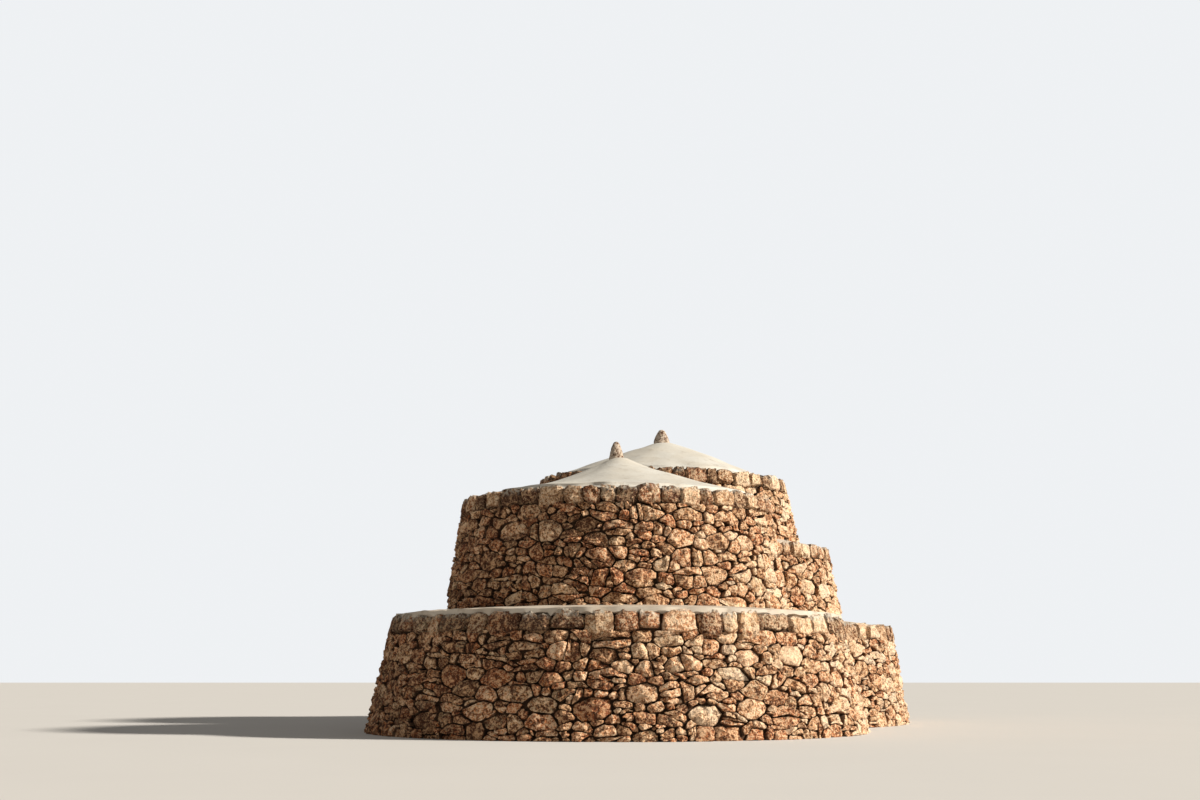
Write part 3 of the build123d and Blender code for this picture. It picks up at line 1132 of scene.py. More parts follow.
@dataclass(frozen=True)
class StoneShaper:
    """Turns outlines into stones with a split, pitted face and blunt arrises."""

    count: int = 16
    insets: tuple[float, ...] = (0.0, 0.055, 0.18, 0.52)
    drops: tuple[float, ...] = (1.0, 0.42, 0.11, 0.0)
    arris: float = 0.21
    back: float = 0.16
    chamfer: float = 0.030
    shrink: float = 0.040
    stand_back: float = 0.050
    facets: int = 6
    steepness: float = 0.70
    deepest: float = 0.080
    lumps: float = 0.013
    crook: float = 0.012
    # The tone's alpha ring by ring from the back, the middle last: 0 takes the full painted shade
    # of the joint, 1 none.
    joint_shade_fade: tuple[float, ...] = (0.0, 0.15, 0.8, 1.0, 1.0)
    drop_spread: tuple[float, float] = (0.4, 1.4)
    facet_starts: tuple[float, float] = (-0.05, 0.40)
    flattest: float = 0.08
    lean: float = 0.09
    back_share: float = 0.93

    def faces(self) -> list[list[int]]:
        """The faces of one stone: back, rings and the fan of its middle."""
        count, rings = self.count, len(self.insets) + 1
        faces = [list(range(count - 1, -1, -1))]
        for ring in range(rings - 1):
            for index in range(count):
                after = (index + 1) % count
                low, high = ring * count, (ring + 1) * count
                faces.append([low + index, low + after, high + after, high + index])
        last = (rings - 1) * count
        faces += [[last + i, last + (i + 1) % count, rings * count] for i in range(count)]
        return faces

    def shape(
        self, outlines: Sequence[Sequence[Point]], rng: np.random.Generator
    ) -> tuple[np.ndarray, np.ndarray, np.ndarray]:
        """Shapes the stones in wall places.

        Args:
            outlines: The stones' corners.
            rng: Where the shapes' chances come from.

        Returns:
            Arc length, height and distance out for each vertex of each stone; its four
            tones; and the stones' middles.
        """
        edge = np.array([blunted(outline, self.chamfer, self.count, rng) for outline in outlines])
        bends = [ripple(edge, 0.13, rng) + ripple(edge, 0.06, rng) * 0.5 for _ in range(2)]
        edge = edge + np.stack(bends, axis=-1) * self.crook
        middle = edge.mean(axis=1, keepdims=True)
        number = len(edge)
        edge = middle + (edge - middle) * (1 - rng.uniform(0, self.shrink, (number, 1, 1)))
        after = np.roll(edge, -1, axis=1)
        wedges = edge[..., 0] * after[..., 1] - edge[..., 1] * after[..., 0]
        size = np.sqrt(np.abs(wedges.sum(axis=1)) / 2)[:, None]

        insets = np.array(self.insets)[None, :, None, None]
        rings = middle[:, None] + (edge[:, None] - middle[:, None]) * (1 - insets)
        drop = np.array(self.drops)[None, :, None] * self.arris * size[..., None]
        drop = drop * rng.uniform(*self.drop_spread, (number, 1, 1))
        out = -np.broadcast_to(drop, rings.shape[:3])
        flat = np.concatenate([rings.reshape(number, -1, 2), middle], axis=1)
        out = np.concatenate([out.reshape(number, -1), np.zeros((number, 1))], axis=1)

        from_hub = flat - middle
        split_off = np.zeros(out.shape)
        for _ in range(self.facets):
            turn = rng.uniform(0, FULL_TURN, (number, 1))
            start = rng.uniform(*self.facet_starts, (number, 1)) * size
            steep = rng.uniform(self.flattest, self.steepness, (number, 1))
            along = from_hub[..., 0] * np.cos(turn) + from_hub[..., 1] * np.sin(turn)
            split_off = np.maximum(split_off, (along - start) * steep)
        out = out - split_off
        lean = rng.normal(0, self.lean, (number, 1, 2))
        out = out + (from_hub * lean).sum(axis=-1)
        out = out + ripple(flat, 0.040, rng) * self.lumps + ripple(flat, 0.10, rng) * self.lumps
        out = out - out.max(axis=1, keepdims=True)
        out = -self.deepest * np.tanh(-out / self.deepest)
        out = out - rng.uniform(0, 1, (number, 1)) ** 3 * self.stand_back

        back = middle + (edge - middle) * self.back_share
        flat = np.concatenate([back, flat], axis=1)
        out = np.concatenate([np.full((number, self.count), -self.back), out], axis=1)
        tones = np.empty((*flat.shape[:2], 4))
        chances = rng.uniform(0, 1, (number, 1, 3)) ** (1.2, 1.0, 1.0)
        tones[..., :3] = chances * (0.72, 1, 1) + (0.10, 0, 0)
        tones[..., 3] = np.concatenate([np.repeat(self.joint_shade_fade, self.count), [1.0]])
        return np.concatenate([flat, out[..., None]], axis=-1), tones, middle[:, 0]


def block_form(steps: int) -> tuple[np.ndarray, list[list[int]]]:
    """The skin of a cube that is cut into small squares.

    Args:
        steps: How many squares there are along an edge.

    Returns:
        Its points from -1 to 1, and its faces.
    """
    numbers: dict[tuple[int, int, int], int] = {}
    faces = []

    def number(*place: int) -> int:
        """The number of a grid place, which is new the first time."""
        return numbers.setdefault(place, len(numbers))

    for axis in range(3):
        for side in (0, steps):
            for i in range(steps):
                for j in range(steps):
                    ring = []
                    for a, b in ((i, j), (i + 1, j), (i + 1, j + 1), (i, j + 1)):
                        place = [0, 0, 0]
                        place[axis], place[(axis + 1) % 3], place[(axis + 2) % 3] = side, a, b
                        ring.append(number(*place))
                    faces.append(ring if side else ring[::-1])
    points = np.array(list(numbers), float) / steps * 2 - 1
    return points, faces


@dataclass(frozen=True)
class BlockShaper:
    """Rough squared blocks: rounded boxes with chipped corners and lumpy faces."""

    steps: int = 5
    squareness: float = 7.0
    lumps: float = 0.022
    cuts: int = 12
    cut_depth: float = 0.34
    lean: float = 0.10

    def faces(self) -> list[list[int]]:
        """The faces of one block."""
        return block_form(self.steps)[1]

    def shape(self, halves: np.ndarray, rng: np.random.Generator) -> tuple[np.ndarray, np.ndarray]:
        """Shapes blocks about their middles.

        Args:
            halves: One row of half width, half height and half depth for each block.
            rng: Where the shapes' chances come from.

        Returns:
            The vertices of each block, and their four tones.
        """
        form, _ = block_form(self.steps)
        square = np.abs(form).max(axis=1, keepdims=True)
        powers = (np.abs(form) ** self.squareness).sum(axis=1, keepdims=True)
        soft = powers ** (1 / self.squareness)
        number = len(halves)
        blocks = np.repeat((form * square / soft)[None], number, axis=0)
        for _ in range(self.cuts):
            way = rng.normal(size=(number, 3))
            way /= np.linalg.norm(way, axis=1, keepdims=True)
            reach = np.abs(way).sum(axis=1) * rng.uniform(1 - self.cut_depth, 1.0, number)
            over = np.maximum((blocks * way[:, None]).sum(axis=-1) - reach[:, None], 0)
            blocks = blocks - over[..., None] * way[:, None] * 0.85
        blocks = blocks * halves[:, None]
        blocks[..., 0] += blocks[..., 1] * rng.normal(0, self.lean, (number, 1))
        where = blocks + rng.uniform(0, 40, (number, 1, 3))
        for size, share in ((0.10, 1.0), (0.045, 0.6)):
            push = np.stack([ripple(where, size, rng) for _ in range(3)], axis=-1)
            blocks = blocks + push * self.lumps * share
        blocks = np.clip(blocks, -halves[:, None], halves[:, None])
        tones = np.empty((number, len(form), 4))
        tones[..., :3] = rng.uniform(0, 1, (number, 1, 3))
        rim = np.sort(np.abs(form), axis=1)[:, 1]
        # The block's rims take the painted shade of the joints.
        tones[..., 3] = np.where(rim > 0.99, 0.25, 1.0)
        return blocks, tones


# Sub-assemblies


@dataclass(frozen=True)
class WallCladding:
    """A tier's rubble: every wall node becomes its stones on a set-back core."""

    name: str
    tier: Tier
    layout: RubbleLayout
    seed: int
    rubble: Any
    shaded_hearting: Any
    coursed: Any
    hidden_by: tuple[Tier, ...] = ()
    gap: tuple[float, float] | None = None
    shaper: StoneShaper = StoneShaper()
    core_inset: float = 0.135
    run_reach: float = 0.42
    hidden_depth: float = 0.21
    hub_depth: float = 0.05
    narrowest: float = 0.05

    def stones(self) -> tuple[np.ndarray, np.ndarray, np.ndarray, np.ndarray]:
        """Lays the stones that show.

        Returns:
            Their vertices in space, their tones, their middles in space, and how much
            lime runs over each vertex where two drums meet.
        """
        rng = np.random.default_rng(self.seed)
        outlines = self.layout.outlines(rng)
        if self.gap:
            outlines = self._open(outlines)
        places, tones, middles = self.shaper.shape(outlines, rng)
        # Painted sunlight and shade: tones paler on the lit right side and darker on the left.
        tones[..., 0] += self.tier.painted_side_light(middles[:, :1])
        points = self.tier.place(places[..., 0], places[..., 1], places[..., 2])
        depths = np.full(len(middles), -self.hub_depth)
        hubs = self.tier.place(middles[:, 0], middles[:, 1], depths)
        shown = uncovered(hubs, self.hidden_by, self.hidden_depth)
        runs = np.zeros(points.shape[:2])
        for other in self.hidden_by:
            away = plan_reach(points, other.middle) - other.radius(points[..., 2])
            beside = points[..., 2] < other.top
            runs = np.maximum(runs, np.where(beside, 1 - np.abs(away) / self.run_reach, 0))
        return points[shown], tones[shown], hubs[shown], runs[shown]

    def _open(self, outlines: list[list[Point]]) -> list[list[Point]]:
        """Keeps the stones out of a doorway.

        Args:
            outlines: All stones' corners.

        Returns:
            The corners of those beside the doorway, cut at its sides.
        """
        low, high = self.gap
        kept = []
        for outline in outlines:
            middle = sum(p[0] for p in outline) / len(outline)
            if middle < (low + high) / 2:
                outline = clip(outline, 1, 0, low)
            else:
                outline = clip(outline, -1, 0, -high)
            if len(outline) >= 3 and np.ptp(outline, axis=0)[0] > self.narrowest:
                kept.append(outline)
        return kept

    def _add_core(self, heap: Heap, node: str) -> None:
        """Adds a wall node's own form with its outer face set back.

        Args:
            heap: The heap that it joins.
            node: The wall node.
        """
        points = points_of(node)
        outer = self.tier.set_back(points, self.core_inset)
        faces = faces_of(node)
        # The set-back face takes the near-black rubble core as painted shade in the joints; the
        # rest takes the vault masonry.
        kinds = [1 if outer[corners].all() else 2 for corners in faces]
        heap.add(points, np.zeros((len(points), 4)), faces, kinds)

    def build(self) -> None:
        """Makes one piece for each wall node."""
        names = nodes_like(f"{self.name}_wall_")
        points, tones, hubs, runs = self.stones()
        owner = self._owners(names, hubs)
        template = self.shaper.faces()
        materials = [self.rubble, self.shaded_hearting, self.coursed]
        for index, name in enumerate(names):
            heap = Heap()
            self._add_core(heap, name)
            mine = owner == index
            if mine.any():
                heap.add_copies(points[mine], tones[mine], template, 0, runs[mine])
            heap.piece(f"{name}_stones", Slot.WALL, materials, [name])
        log.info("%s: %d stones on %d walls", self.name, len(hubs), len(names))

    def _owners(self, names: Sequence[str], hubs: np.ndarray) -> np.ndarray:
        """Finds the wall node under each stone.

        Args:
            names: The wall nodes.
            hubs: The stones' middles.

        Returns:
            The place of the nearest node's face in the names, for each stone.
        """
        best = np.full(len(hubs), np.inf)
        owner = np.zeros(len(hubs), int)
        turn = np.arctan2(hubs[:, 1] - self.tier.y, hubs[:, 0] - self.tier.x)
        for index, name in enumerate(names):
            points = points_of(name)
            points = points[self.tier.on_face(points)]
            rim = np.arctan2(points[:, 1] - self.tier.y, points[:, 0] - self.tier.x)
            steps = (turn[:, None] - rim[None] + math.pi) % FULL_TURN - math.pi
            away = np.abs(steps).min(axis=1)
            nearer = away < best
            best[nearer], owner[nearer] = away[nearer], index
        return owner


@dataclass(frozen=True)
class CapCourse:
    """The course of squared stones along a tier's top edge."""

    node: str
    tier: Tier
    seed: int
    stone: Any
    shaded_hearting: Any
    hidden_by: tuple[Tier, ...] = ()
    gap: tuple[float, float] | None = None
    widths: tuple[float, float] = (0.22, 0.44)
    foot_spread: tuple[float, float] = (-0.03, 0.02)
    top_spread: tuple[float, float] = (-0.020, 0.015)
    tilt: float = 0.0
    spill_depth: float = 0.13
    shaper: BlockShaper = BlockShaper()
    core_inset: float = 0.13
    core_drop: float = 0.05
    depths: tuple[float, float] = (0.28, 0.36)
    recess: float = 0.022
    joint: float = 0.004
    hidden_depth: float = 0.20
    spill_spread: tuple[float, float] = (-0.5, 0.25)

    def build(self) -> None:
        """Makes the course."""
        rng = np.random.default_rng(self.seed)
        low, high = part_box(self.node)
        edges = [0.0]
        while edges[-1] < self.tier.girth:
            edges.append(edges[-1] + rng.uniform(*self.widths))
        edges = np.array(edges) * self.tier.girth / edges[-1]
        middles = (edges[1:] + edges[:-1]) / 2
        widths = np.diff(edges)
        number = len(middles)
        lift = (1 - np.cos(middles / self.tier.mean_radius)) / 2 * self.tilt
        tops = high.z + lift + rng.uniform(*self.top_spread, number)
        bottoms = low.z + rng.uniform(*self.foot_spread, number)
        depths = rng.uniform(*self.depths, number)
        heights = (tops - bottoms) / 2
        halves = np.stack([widths / 2 - self.joint / 2, heights, depths / 2], axis=1)
        blocks, tones = self.shaper.shape(halves, rng)
        around = middles[:, None] + blocks[..., 0]
        rise = ((tops + bottoms) / 2)[:, None] + blocks[..., 1]
        back = rng.uniform(0, self.recess, number)
        out = blocks[..., 2] - (depths / 2 + back)[:, None]
        points = self.tier.place(around, rise, out)
        hubs = self.tier.place(middles, (tops + bottoms) / 2, -depths / 2)
        shown = uncovered(hubs, self.hidden_by, self.hidden_depth)
        if self.gap:
            shown &= (middles < self.gap[0]) | (middles > self.gap[1])
        heap = Heap()
        core = points_of(self.node)
        self.tier.set_back(core, self.core_inset)
        core[core[:, 2] > high.z - TOUCH, 2] -= self.core_drop
        # The set-back rubble core is painted near black as shade.
        heap.add(core, np.zeros((len(core), 4)), faces_of(self.node), 1)
        spill = 1 - (high.z + lift[:, None] - rise) / self.spill_depth
        spill += rng.uniform(*self.spill_spread, (number, 1))
        # Painted sunlight and shade: tones paler on the lit right side and darker on the left.
        tones[..., 0] += self.tier.painted_side_light(middles)[:, None]
        heap.add_copies(points[shown], tones[shown], self.shaper.faces(), 0, spill[shown])
        log.info("%s: %d cap stones", self.node, int(shown.sum()))
        heap.piece(f"{self.node}_stones", Slot.CAP, [self.stone, self.shaded_hearting], [self.node])


@dataclass(frozen=True)
class LimeLedge:
    """The lime on a tier's top: a gentle fall, a ragged lip and runs down the joints."""

    node: str
    tier: Tier
    inner: Tier
    seed: int
    lime: Any
    hidden_by: tuple[Tier, ...] = ()
    turns: int = 420
    rings: int = 8
    lip_inset: float = 0.055
    lip_height: float = 0.030
    hang: float = 0.060
    buried: float = 0.09
    under_wall: float = 0.14
    lip_wave: float = 0.020
    least_inset: float = 0.003
    unevenness: float = 0.008
    drip: float = 0.05
    hem_wave: float = 0.012
    hidden_depth: float = 0.12

    def build(self) -> None:
        """Makes the ledge as a ring, or as what a neighbouring drum leaves of it."""
        rng = np.random.default_rng(self.seed)
        low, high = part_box(self.node)
        ways = circle_ways(self.turns)
        lip = self.tier.top_radius - self.lip_inset + ripple(ways * 4, 0.30, rng) * self.lip_wave
        lip = np.minimum(lip, self.tier.top_radius - self.least_inset)
        offset = np.subtract(self.inner.middle, self.tier.middle)
        foot = self._ray(ways, offset, self.inner.foot_radius - self.under_wall)
        rows = []
        for share in np.linspace(0, 1, self.rings):
            radius = foot + (lip - foot) * share
            level = high.z + (low.z + self.lip_height - high.z) * share
            bump = ripple(ways * radius[:, None], 0.4, rng) * self.unevenness * (0.3 + share)
            rows.append((radius, np.minimum(level + bump, high.z)))
        runs = np.maximum(ripple(ways * 4, 0.11, rng), 0) ** 2 * self.drip
        wave = ripple(ways * 4, 0.24, rng) * self.hem_wave
        level = low.z + self.lip_height
        rows.append((lip + 0.004, level - 0.014 + wave))
        rows.append((lip + 0.016, level - self.hang - runs + wave))
        rows += [(r, np.full(self.turns, level - self.buried)) for r in (lip - 0.05, foot)]
        middle = self.tier.middle
        grid = np.stack([np.column_stack([middle + ways * r[:, None], h]) for r, h in rows])
        self._skin(grid)

    def _ray(self, ways: np.ndarray, offset: np.ndarray, radius: float) -> np.ndarray:
        """Where rays from the tier's middle leave the inner tier's circle.

        Args:
            ways: The rays' directions.
            offset: The circle's middle.
            radius: The circle's radius.

        Returns:
            One distance for each ray.
        """
        along = ways @ offset
        return along + np.sqrt(np.maximum(along**2 - offset @ offset + radius**2, 0))

    def _skin(self, grid: np.ndarray) -> None:
        """Joins the rings of points into the ledge, and closes it where it is buried.

        Args:
            grid: Points by ring and turn.
        """
        rings, turns = len(grid), self.turns
        gone = np.zeros(turns, bool)
        for other in self.hidden_by:
            gone |= other.holds(grid + (0, 0, 0.02), self.hidden_depth).all(axis=0)
        faces = []
        for index in range(turns):
            after = (index + 1) % turns
            column = [ring * turns + index for ring in range(rings)]
            if gone[index] and not gone[after]:
                faces.append([ring * turns + after for ring in range(rings)])
            if gone[after] and not gone[index]:
                faces.append(column[::-1])
            if gone[index] or gone[after]:
                continue
            for place in range(rings):
                here, under = column[place], column[(place + 1) % rings]
                faces.append([here, under, under - index + after, here - index + after])
        used = sorted({corner for face in faces for corner in face})
        place = {corner: number for number, corner in enumerate(used)}
        kept = [[place[corner] for corner in face] for face in faces]
        heap = Heap()
        heap.add(grid.reshape(-1, 3)[used], np.ones((len(used), 4)), kept, 0)
        heap.piece(f"{self.node}_render", Slot.LIME, [self.lime], [self.node])


def lathe_faces(rings: int, turns: int) -> list[list[int]]:
    """The faces of a closed form of rings, which ends in a top and a bottom point.

    Args:
        rings: How many rings there are, from the top down.
        turns: How many points a ring has.

    Returns:
        The faces. The top point follows the rings, and the bottom point follows it.
    """
    faces = []
    last, total = (rings - 1) * turns, rings * turns
    for index in range(turns):
        after = (index + 1) % turns
        for ring in range(0, last, turns):
            faces.append([ring + index, ring + turns + index, ring + turns + after, ring + after])
        faces.append([index, after, total])
        faces.append([last + after, last + index, total + 1])
    return faces


@dataclass(frozen=True)
class LimeDome:
    """A roof's lime: the frame's slope, trowelled by hand, with a ragged foot."""

    name: str
    middle: Point
    seed: int
    lime: Any
    skirt: float = 0.11
    sags: tuple[float, float] = (0.0, 0.0)
    tilt: float = 0.0
    turns: int = 200
    rings: int = 40
    buried: float = 0.05
    thinnest: float = 0.006
    innermost: float = 0.04
    foot_inset: float = 0.02
    raggedness: float = 0.03
    swells: tuple[float, float] = (0.010, 0.005)
    rim_wave: float = 0.09
    skirt_form: tuple[Point, ...] = ((0.08, 0.62), (0.20, 0.34), (0.40, 0.12), (0.70, -0.02))

    def profile(self, node: str, foot: float, shares: np.ndarray) -> np.ndarray:
        """The height of a round CAD node, seen from above on its front side.

        Args:
            node: The node.
            foot: The radius of the lime's foot.
            shares: Distances from the middle, as shares of the foot's.

        Returns:
            The heights.
        """
        low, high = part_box(node)
        heights = []
        for share in shares:
            start = Vector((self.middle[0], self.middle[1] - foot * share, high.z + 1))
            met, place, _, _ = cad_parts[node].ray_cast(start, Vector((0, 0, -1)))
            heights.append(place.z if met else low.z)
        return np.array(heights)

    def build(self) -> None:
        """Makes the dome as one closed shell."""
        rng = np.random.default_rng(self.seed)
        node = f"{self.name}_dome_lime"
        low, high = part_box(node)
        foot = plan_reach(points_of(node), self.middle).max()
        ways = circle_ways(self.turns)
        ragged = foot - self.foot_inset + ripple(ways * foot, 0.32, rng) * self.raggedness
        shares = np.linspace(self.innermost, 1, self.rings)
        inside = shares * 0.992
        levels = self.profile(node, foot, inside)
        core = self.profile(f"{self.name}_roof_core", foot, inside) + self.thinnest
        spread = foot * shares[:, None] + (ragged - foot)[None] * shares[:, None] ** 6
        places = ways[None] * spread[..., None]
        fade = (shares / 0.3).clip(0, 1)[:, None]
        broad, fine = (ripple(places, size, rng) for size in (0.9, 0.35))
        swell = broad * self.swells[0] + fine * self.swells[1]
        sag = sum(
            np.sin(shares**hollow * math.pi)[:, None] * ((1 + side) / 2) ** 2 * depth
            for side, depth, hollow in zip((-ways[:, 0], ways[:, 0]), self.sags, (0.6, 1.7))
        )
        lift = (1 - ways[:, 0]) / 2 * self.tilt * shares[:, None] ** 3
        heights = np.maximum(levels[:, None] + swell * fade - sag + lift, core[:, None])
        heights = np.minimum(heights, high.z)
        grid = np.concatenate([places, heights[..., None]], axis=-1)
        base = low.z - 0.016 + lift[-1] + ripple(ways * foot, 0.2, rng) * 0.008
        rim = ragged + self.skirt * (1 + ripple(ways * foot, 0.5, rng) * self.rim_wave)
        fall = grid[-1, :, 2] - base
        skirt = [
            (ragged + (rim - ragged) * share, base + fall * left)
            for share, left in self.skirt_form
        ]
        skirt += [(rim, base - 0.012), (rim + 0.01, base - 0.03)]
        skirt.append((rim - 0.06, np.full(self.turns, low.z - self.buried)))
        rows = [np.column_stack([ways * radius[:, None], level]) for radius, level in skirt]
        grid = np.concatenate([grid, np.stack(rows)]) + (*self.middle, 0)
        ends = [[*self.middle, high.z], [*self.middle, low.z - self.buried]]
        flat = np.vstack([grid.reshape(-1, 3), ends])
        heap = Heap()
        heap.add(flat, np.ones((len(flat), 4)), lathe_faces(len(grid), self.turns), 0)
        heap.piece(f"{node}_render", Slot.LIME, [self.lime], [node])


@dataclass(frozen=True)
class Pinnacle:
    """The stone on a dome's top: a weathered, blunt peg as the frame tapers."""

    node: str
    seed: int
    stone: Any
    turns: int = 28
    rings: int = 26
    buried: float = 0.08
    tones: tuple[float, ...] = (0.46, 0.3, 0.8, 1.0)
    fullness: float = 1.09
    lumps: tuple[float, float] = (0.05, 0.03)

    def build(self) -> None:
        """Makes the pinnacle as one closed stone."""
        rng = np.random.default_rng(self.seed)
        low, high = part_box(self.node)
        x, y = plan_middle(self.node)
        points = points_of(self.node)
        order = np.argsort(points[:, 2])
        reach = plan_reach(points[order], (x, y))
        levels = np.unique(np.round(points[order, 2], 4))
        radii = [reach[np.abs(points[order, 2] - level) < 0.001].max() for level in levels]
        ways = circle_ways(self.turns)
        shares = np.sin(np.linspace(math.pi / 2, 0, self.rings + 1))[1:]
        heights = low.z + (high.z - low.z) * shares
        spread = np.interp(heights, levels, radii)
        heights[-1] -= self.buried
        rows = zip(spread, heights)
        grid = np.stack([np.column_stack([ways * r, np.full(self.turns, z)]) for r, z in rows])
        broad, fine = (ripple(grid, size, rng) for size in (0.10, 0.045))
        push = broad * self.lumps[0] + fine * self.lumps[1]
        grid[..., :2] *= (self.fullness + push)[..., None]
        ends = [[x, y, high.z], [x, y, heights[-1]]]
        flat = np.vstack([grid.reshape(-1, 3) + (x, y, 0), ends])
        tones = np.ones((len(flat), 4)) * self.tones
        heap = Heap()
        heap.add(flat, tones, lathe_faces(self.rings, self.turns), 0)
        heap.piece(f"{self.node}_stone", Slot.PINNACLE, [self.stone], [self.node])


@dataclass(frozen=True)
class RoughBlocks:
    """A dressed piece as rough blocks, laid along one axis of its box."""

    node: str
    seed: int
    stone: Any
    axis: int = 2
    length: float = 0.32
    joint: float = 0.008
    wander: float = 0.2
    recess: float = 0.02

    def build(self) -> None:
        """Makes the blocks."""
        rng = np.random.default_rng(self.seed)
        shaper = BlockShaper(steps=7, lumps=0.006, cuts=7, cut_depth=0.12, lean=0.0)
        low, high = (np.array(corner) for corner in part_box(self.node))
        count = max(1, round((high - low)[self.axis] / self.length))
        inner = np.arange(1, count) + rng.uniform(-self.wander, self.wander, count - 1)
        shares = np.concatenate([[0], inner, [count]])
        cuts = low[self.axis] + (high - low)[self.axis] * shares / count
        lows, highs = (np.repeat(end[None], count, axis=0) for end in (low, high))
        lows[:, self.axis] = cuts[:-1] + self.joint / 2
        highs[:, self.axis] = cuts[1:] - self.joint / 2
        highs[:, 1] -= rng.uniform(0, self.recess, count)
        blocks, tones = shaper.shape((highs - lows) / 2, rng)
        heap = Heap()
        heap.add_copies(blocks + ((highs + lows) / 2)[:, None], tones, shaper.faces(), 0)
        heap.piece(f"{self.node}_blocks", Slot.DRESSED, [self.stone], [self.node])


# The studio


@dataclass(frozen=True)
class Studio:
    """A pale floor, a pale sky, soft lamps and the camera."""

    eye_height: float = 0.887
    eye_back: float = 24.3
    eye_left: float = 0.27
    pitch_deg: float = 10.56
    focal_px: float = 1475.0
    frame_px: float = 1200.0
    sensor_mm: float = 36.0
    floor_reach: float = 150.0
    sky_light: Colour = (1.0, 0.96, 0.91)
    sky_seen: Colour = (0.86, 0.88, 0.90)

    def build(self, middle: Point) -> None:
        """Sets up the whole studio.

        Args:
            middle: The front drum's middle in plan, which the camera faces.
        """
        self._camera(middle)
        self._floor()
        self._sky()
        self._lamps()

    def _camera(self, middle: Point) -> None:
        """Stands the camera in front of the house.

        Args:
            middle: The front drum's middle in plan.
        """
        data = bpy.data.cameras.new("camera")
        data.sensor_width = self.sensor_mm
        data.lens = self.focal_px * self.sensor_mm / self.frame_px
        data.clip_end = 400
        camera = place_object("camera", data)
        camera.location = (middle[0] - self.eye_left, middle[1] - self.eye_back, self.eye_height)
        camera.rotation_euler = (math.radians(90 + self.pitch_deg), 0, 0)
        bpy.context.scene.camera = camera

    def _floor(self) -> None:
        """Lays the pale floor."""
        mesh = bpy.data.meshes.new("floor")
        far = self.floor_reach
        corners = [(-far, -far, 0), (far, -far, 0), (far, far, 0), (-far, far, 0)]
        mesh.from_pydata(corners, [], [(0, 1, 2, 3)])
        floor = place_object("floor", mesh)
        sheet = Sheet.material("floor_paint")
        cloud = sheet.noise(2.5)
        base = sheet.mix(cloud, (0.61, 0.60, 0.58), (0.64, 0.63, 0.61))
        mesh.materials.append(sheet.finish(base, 0.9, cloud, 0.001))

    def _sky(self) -> None:
        """Fills the world with soft light, and shows it pale."""
        sheet = Sheet(bpy.data.worlds.new("sky"))
        seen = sheet.term("ShaderNodeLightPath", output="Is Camera Ray")
        shine, plain = (
            sheet.term("ShaderNodeBackground", None, {"Color": (*colour, 1), "Strength": strength})
            for colour, strength in ((self.sky_light, 0.22), (self.sky_seen, 1.0))
        )
        mixed = sheet.term("ShaderNodeMixShader", None, {0: seen, 1: shine, 2: plain})
        sheet.add("ShaderNodeOutputWorld", None, {"Surface": mixed})
        bpy.context.scene.world = sheet.block

    def _lamps(self) -> None:
        """Hangs a soft warm key on the right and a weak fill on the left."""
        self._sun("key", 6.3, (1.0, 0.93, 0.83), 80, 28, 5)
        self._sun("fill", 0.15, (1.0, 0.95, 0.88), -20, 30, 60)

    def _sun(
        self,
        name: str,
        strength: float,
        colour: Colour,
        right_deg: float,
        up_deg: float,
        spread_deg: float,
    ) -> None:
        """Hangs one far lamp.

        Args:
            name: Its name.
            strength: Its strength.
            colour: Its colour.
            right_deg: How far right of the camera's side it stands.
            up_deg: How high it stands.
            spread_deg: How wide it looks, which softens its shadows.
        """
        data = bpy.data.lights.new(name, "SUN")
        data.energy = strength
        data.color = colour
        data.angle = math.radians(spread_deg)
        turn, rise = math.radians(right_deg), math.radians(up_deg)
        level = math.cos(rise)
        way = Vector((math.sin(turn) * level, -math.cos(turn) * level, math.sin(rise)))
        lamp = place_object(name, data)
        lamp.rotation_euler = way.to_track_quat("Z", "Y").to_euler()


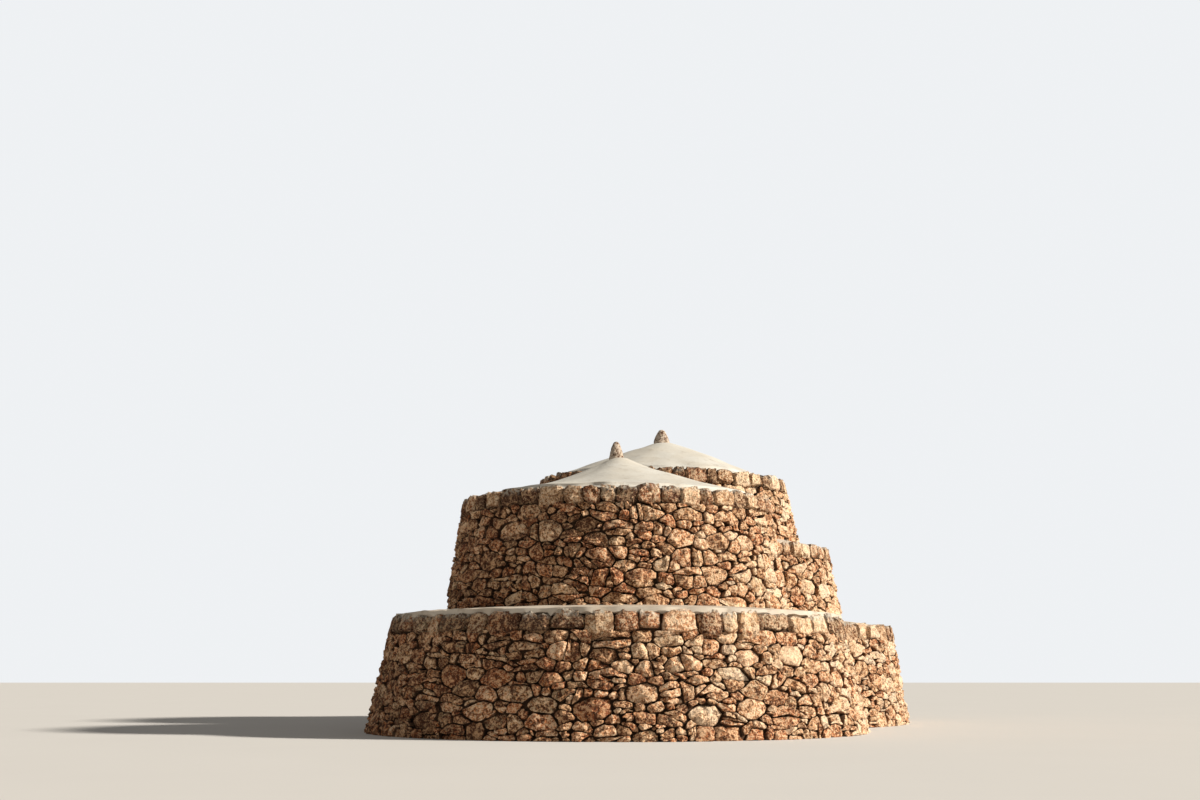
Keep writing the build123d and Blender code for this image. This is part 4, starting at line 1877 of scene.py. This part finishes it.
class House:
    """The whole house: its tiers on the frame and everything laid on them."""

    def __init__(self) -> None:
        """Measures the tiers and makes the finishes."""
        room, back = plan_middle("front_closing_slab"), plan_middle("rear_closing_slab")
        feet = np.vstack([points_of(name) for name in nodes_like("front_lower_wall_")])
        half = (feet[:, 0].max() - feet[:, 0].min()) / 2
        front = (feet[:, 0].min() + half, feet[:, 1].min() + half)
        self.front_middle = (float(front[0]), float(front[1]))
        self.tiers = {
            name: Tier.measured(middle, nodes_like(f"{name}_wall_"), f"{name}_cap_course")
            for name, middle in (
                ("front_lower", self.front_middle), ("front_upper", room), ("rear_lower", back),
                ("rear_middle", back), ("rear_upper", back),
            )
        }
        self.room, self.back = room, back
        self.rubble = LimestoneFinish("rubble_limestone").build()
        self.squared = LimestoneFinish(
            "squared_limestone", lichen_share=0.70, warmth_bias=-0.16, tone_bias=-0.22,
            specks=0.75, dimmed=0.27,
        ).build()
        pale = (
            (0.20, 0.14, 0.10), (0.34, 0.24, 0.17), (0.50, 0.38, 0.29), (0.62, 0.50, 0.40),
            (0.72, 0.61, 0.51),
        )
        self.peg = LimestoneFinish(
            "pinnacle_limestone", warm=pale, cool=pale, crust_and_highlight=(0.70, 0.60, 0.50),
            dull_crust_and_highlight=(0.55, 0.45, 0.36), rust_share=0.2, relief=0.03,
        ).build()
        self.lime = LimeFinish("lime_wash").build()
        self.worn_lime = LimeFinish(
            "worn_lime", white=(0.56, 0.50, 0.42), cream=(0.50, 0.42, 0.33),
            dust=(0.34, 0.26, 0.185),
        ).build()
        self.shaded_hearting = HeartingFinish("shaded_hearting").build()
        self.coursed = CoursedFinish("vault_masonry").build()
        self.dressed = DressedFinish("dressed_limestone").build()
        self.rear_tilt = 0.07
        low_caps = {
            "foot_spread": (-0.15, 0.045), "top_spread": (-0.014, 0.024),
            "shaper": BlockShaper(squareness=7.0, cut_depth=0.38),
        }
        self.cap_styles: dict[str, dict[str, Any]] = {
            "front_lower": {"widths": (0.28, 0.72), **low_caps},
            "rear_lower": {"widths": (0.26, 0.62), **low_caps},
            "front_upper": {"widths": (0.22, 0.46)},
            "rear_middle": {"widths": (0.20, 0.42)},
            "rear_upper": {"widths": (0.22, 0.46), "tilt": self.rear_tilt},
        }

    def doorway_gap(self) -> tuple[float, float]:
        """The doorway with its jambs, as arc lengths on the rear drum's lower tier."""
        tier = self.tiers["rear_lower"]
        left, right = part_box("door_jamb_left")[0].x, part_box("door_jamb_right")[1].x
        angles = [math.acos((x - tier.x) / tier.mean_radius) for x in (right, left)]
        return angles[0] * tier.mean_radius, angles[1] * tier.mean_radius

    def build(self) -> None:
        """Dresses every tier and roof."""
        tiers = self.tiers
        lower, upper = tiers["front_lower"], tiers["front_upper"]
        rear, middle, high = tiers["rear_lower"], tiers["rear_middle"], tiers["rear_upper"]
        gap = self.doorway_gap()
        self._tier("front_lower", 11, hidden_by=(rear,))
        self._tier("rear_lower", 12, hidden_by=(lower,), gap=gap)
        self._tier("front_upper", 13, hidden_by=(middle, high))
        self._tier("rear_middle", 14, hidden_by=(upper,))
        self._tier("rear_upper", 15, hidden_by=(upper,))
        LimeLedge("front_lower_ledge", lower, upper, 31, self.worn_lime, (rear,)).build()
        thin = {"lip_inset": 0.17, "lip_height": -0.020}
        LimeLedge("rear_lower_ledge", rear, middle, 32, self.worn_lime, (lower,), **thin).build()
        LimeLedge("rear_middle_ledge", middle, high, 33, self.worn_lime, (upper,), **thin).build()
        LimeDome("front", self.room, 41, self.lime, sags=(0.078, -0.035)).build()
        LimeDome("rear", self.back, 42, self.lime, 0.22, (0.028, 0.02), self.rear_tilt).build()
        Pinnacle("front_pinnacle", 51, self.peg).build()
        Pinnacle("rear_pinnacle", 52, self.peg).build()
        for seed, name in enumerate(("door_jamb_left", "door_jamb_right"), start=61):
            RoughBlocks(name, seed, self.squared).build()
        RoughBlocks("door_threshold", 63, self.squared, axis=0, length=0.9).build()
        for start in ("front_vault", "rear_vault", "front_roof", "rear_roof"):
            self._paint(start, self.coursed)
        for start in ("front_closing", "rear_closing", "door_lintels", "passage_lintels"):
            self._paint(start, self.dressed)

    def _paint(self, start: str, material: Any) -> None:
        """Gives CAD nodes that stay as they are their finish.

        Args:
            start: How the nodes' names start.
            material: The finish.
        """
        for name in nodes_like(start):
            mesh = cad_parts[name].data
            mesh.materials.clear()
            mesh.materials.append(material)

    def _tier(
        self,
        name: str,
        seed: int,
        hidden_by: tuple[Tier, ...],
        gap: tuple[float, float] | None = None,
    ) -> None:
        """Clads one tier and lays its cap course.

        Args:
            name: The tier's name.
            seed: Where its chances start.
            hidden_by: The tiers that bury some of its stones.
            gap: A doorway to keep clear.
        """
        tier = self.tiers[name]
        cap_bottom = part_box(f"{name}_cap_course")[0].z
        layout = RubbleLayout(tier.girth, tier.bottom, cap_bottom)
        WallCladding(
            name, tier, layout, seed, self.rubble, self.shaded_hearting, self.coursed, hidden_by, gap
        ).build()
        CapCourse(
            f"{name}_cap_course", tier, seed + 10, self.squared, self.shaded_hearting, hidden_by, gap,
            **self.cap_styles[name],
        ).build()


def main() -> None:
    """Builds the studio and the house, and notes their sizes."""
    logging.basicConfig(level=logging.INFO, format="%(name)s: %(message)s")
    bpy.context.scene.view_settings.view_transform = "Standard"
    house = House()
    Studio().build(house.front_middle)
    house.build()
    bpy.context.view_layer.update()


if __name__ == "__main__":
    main()
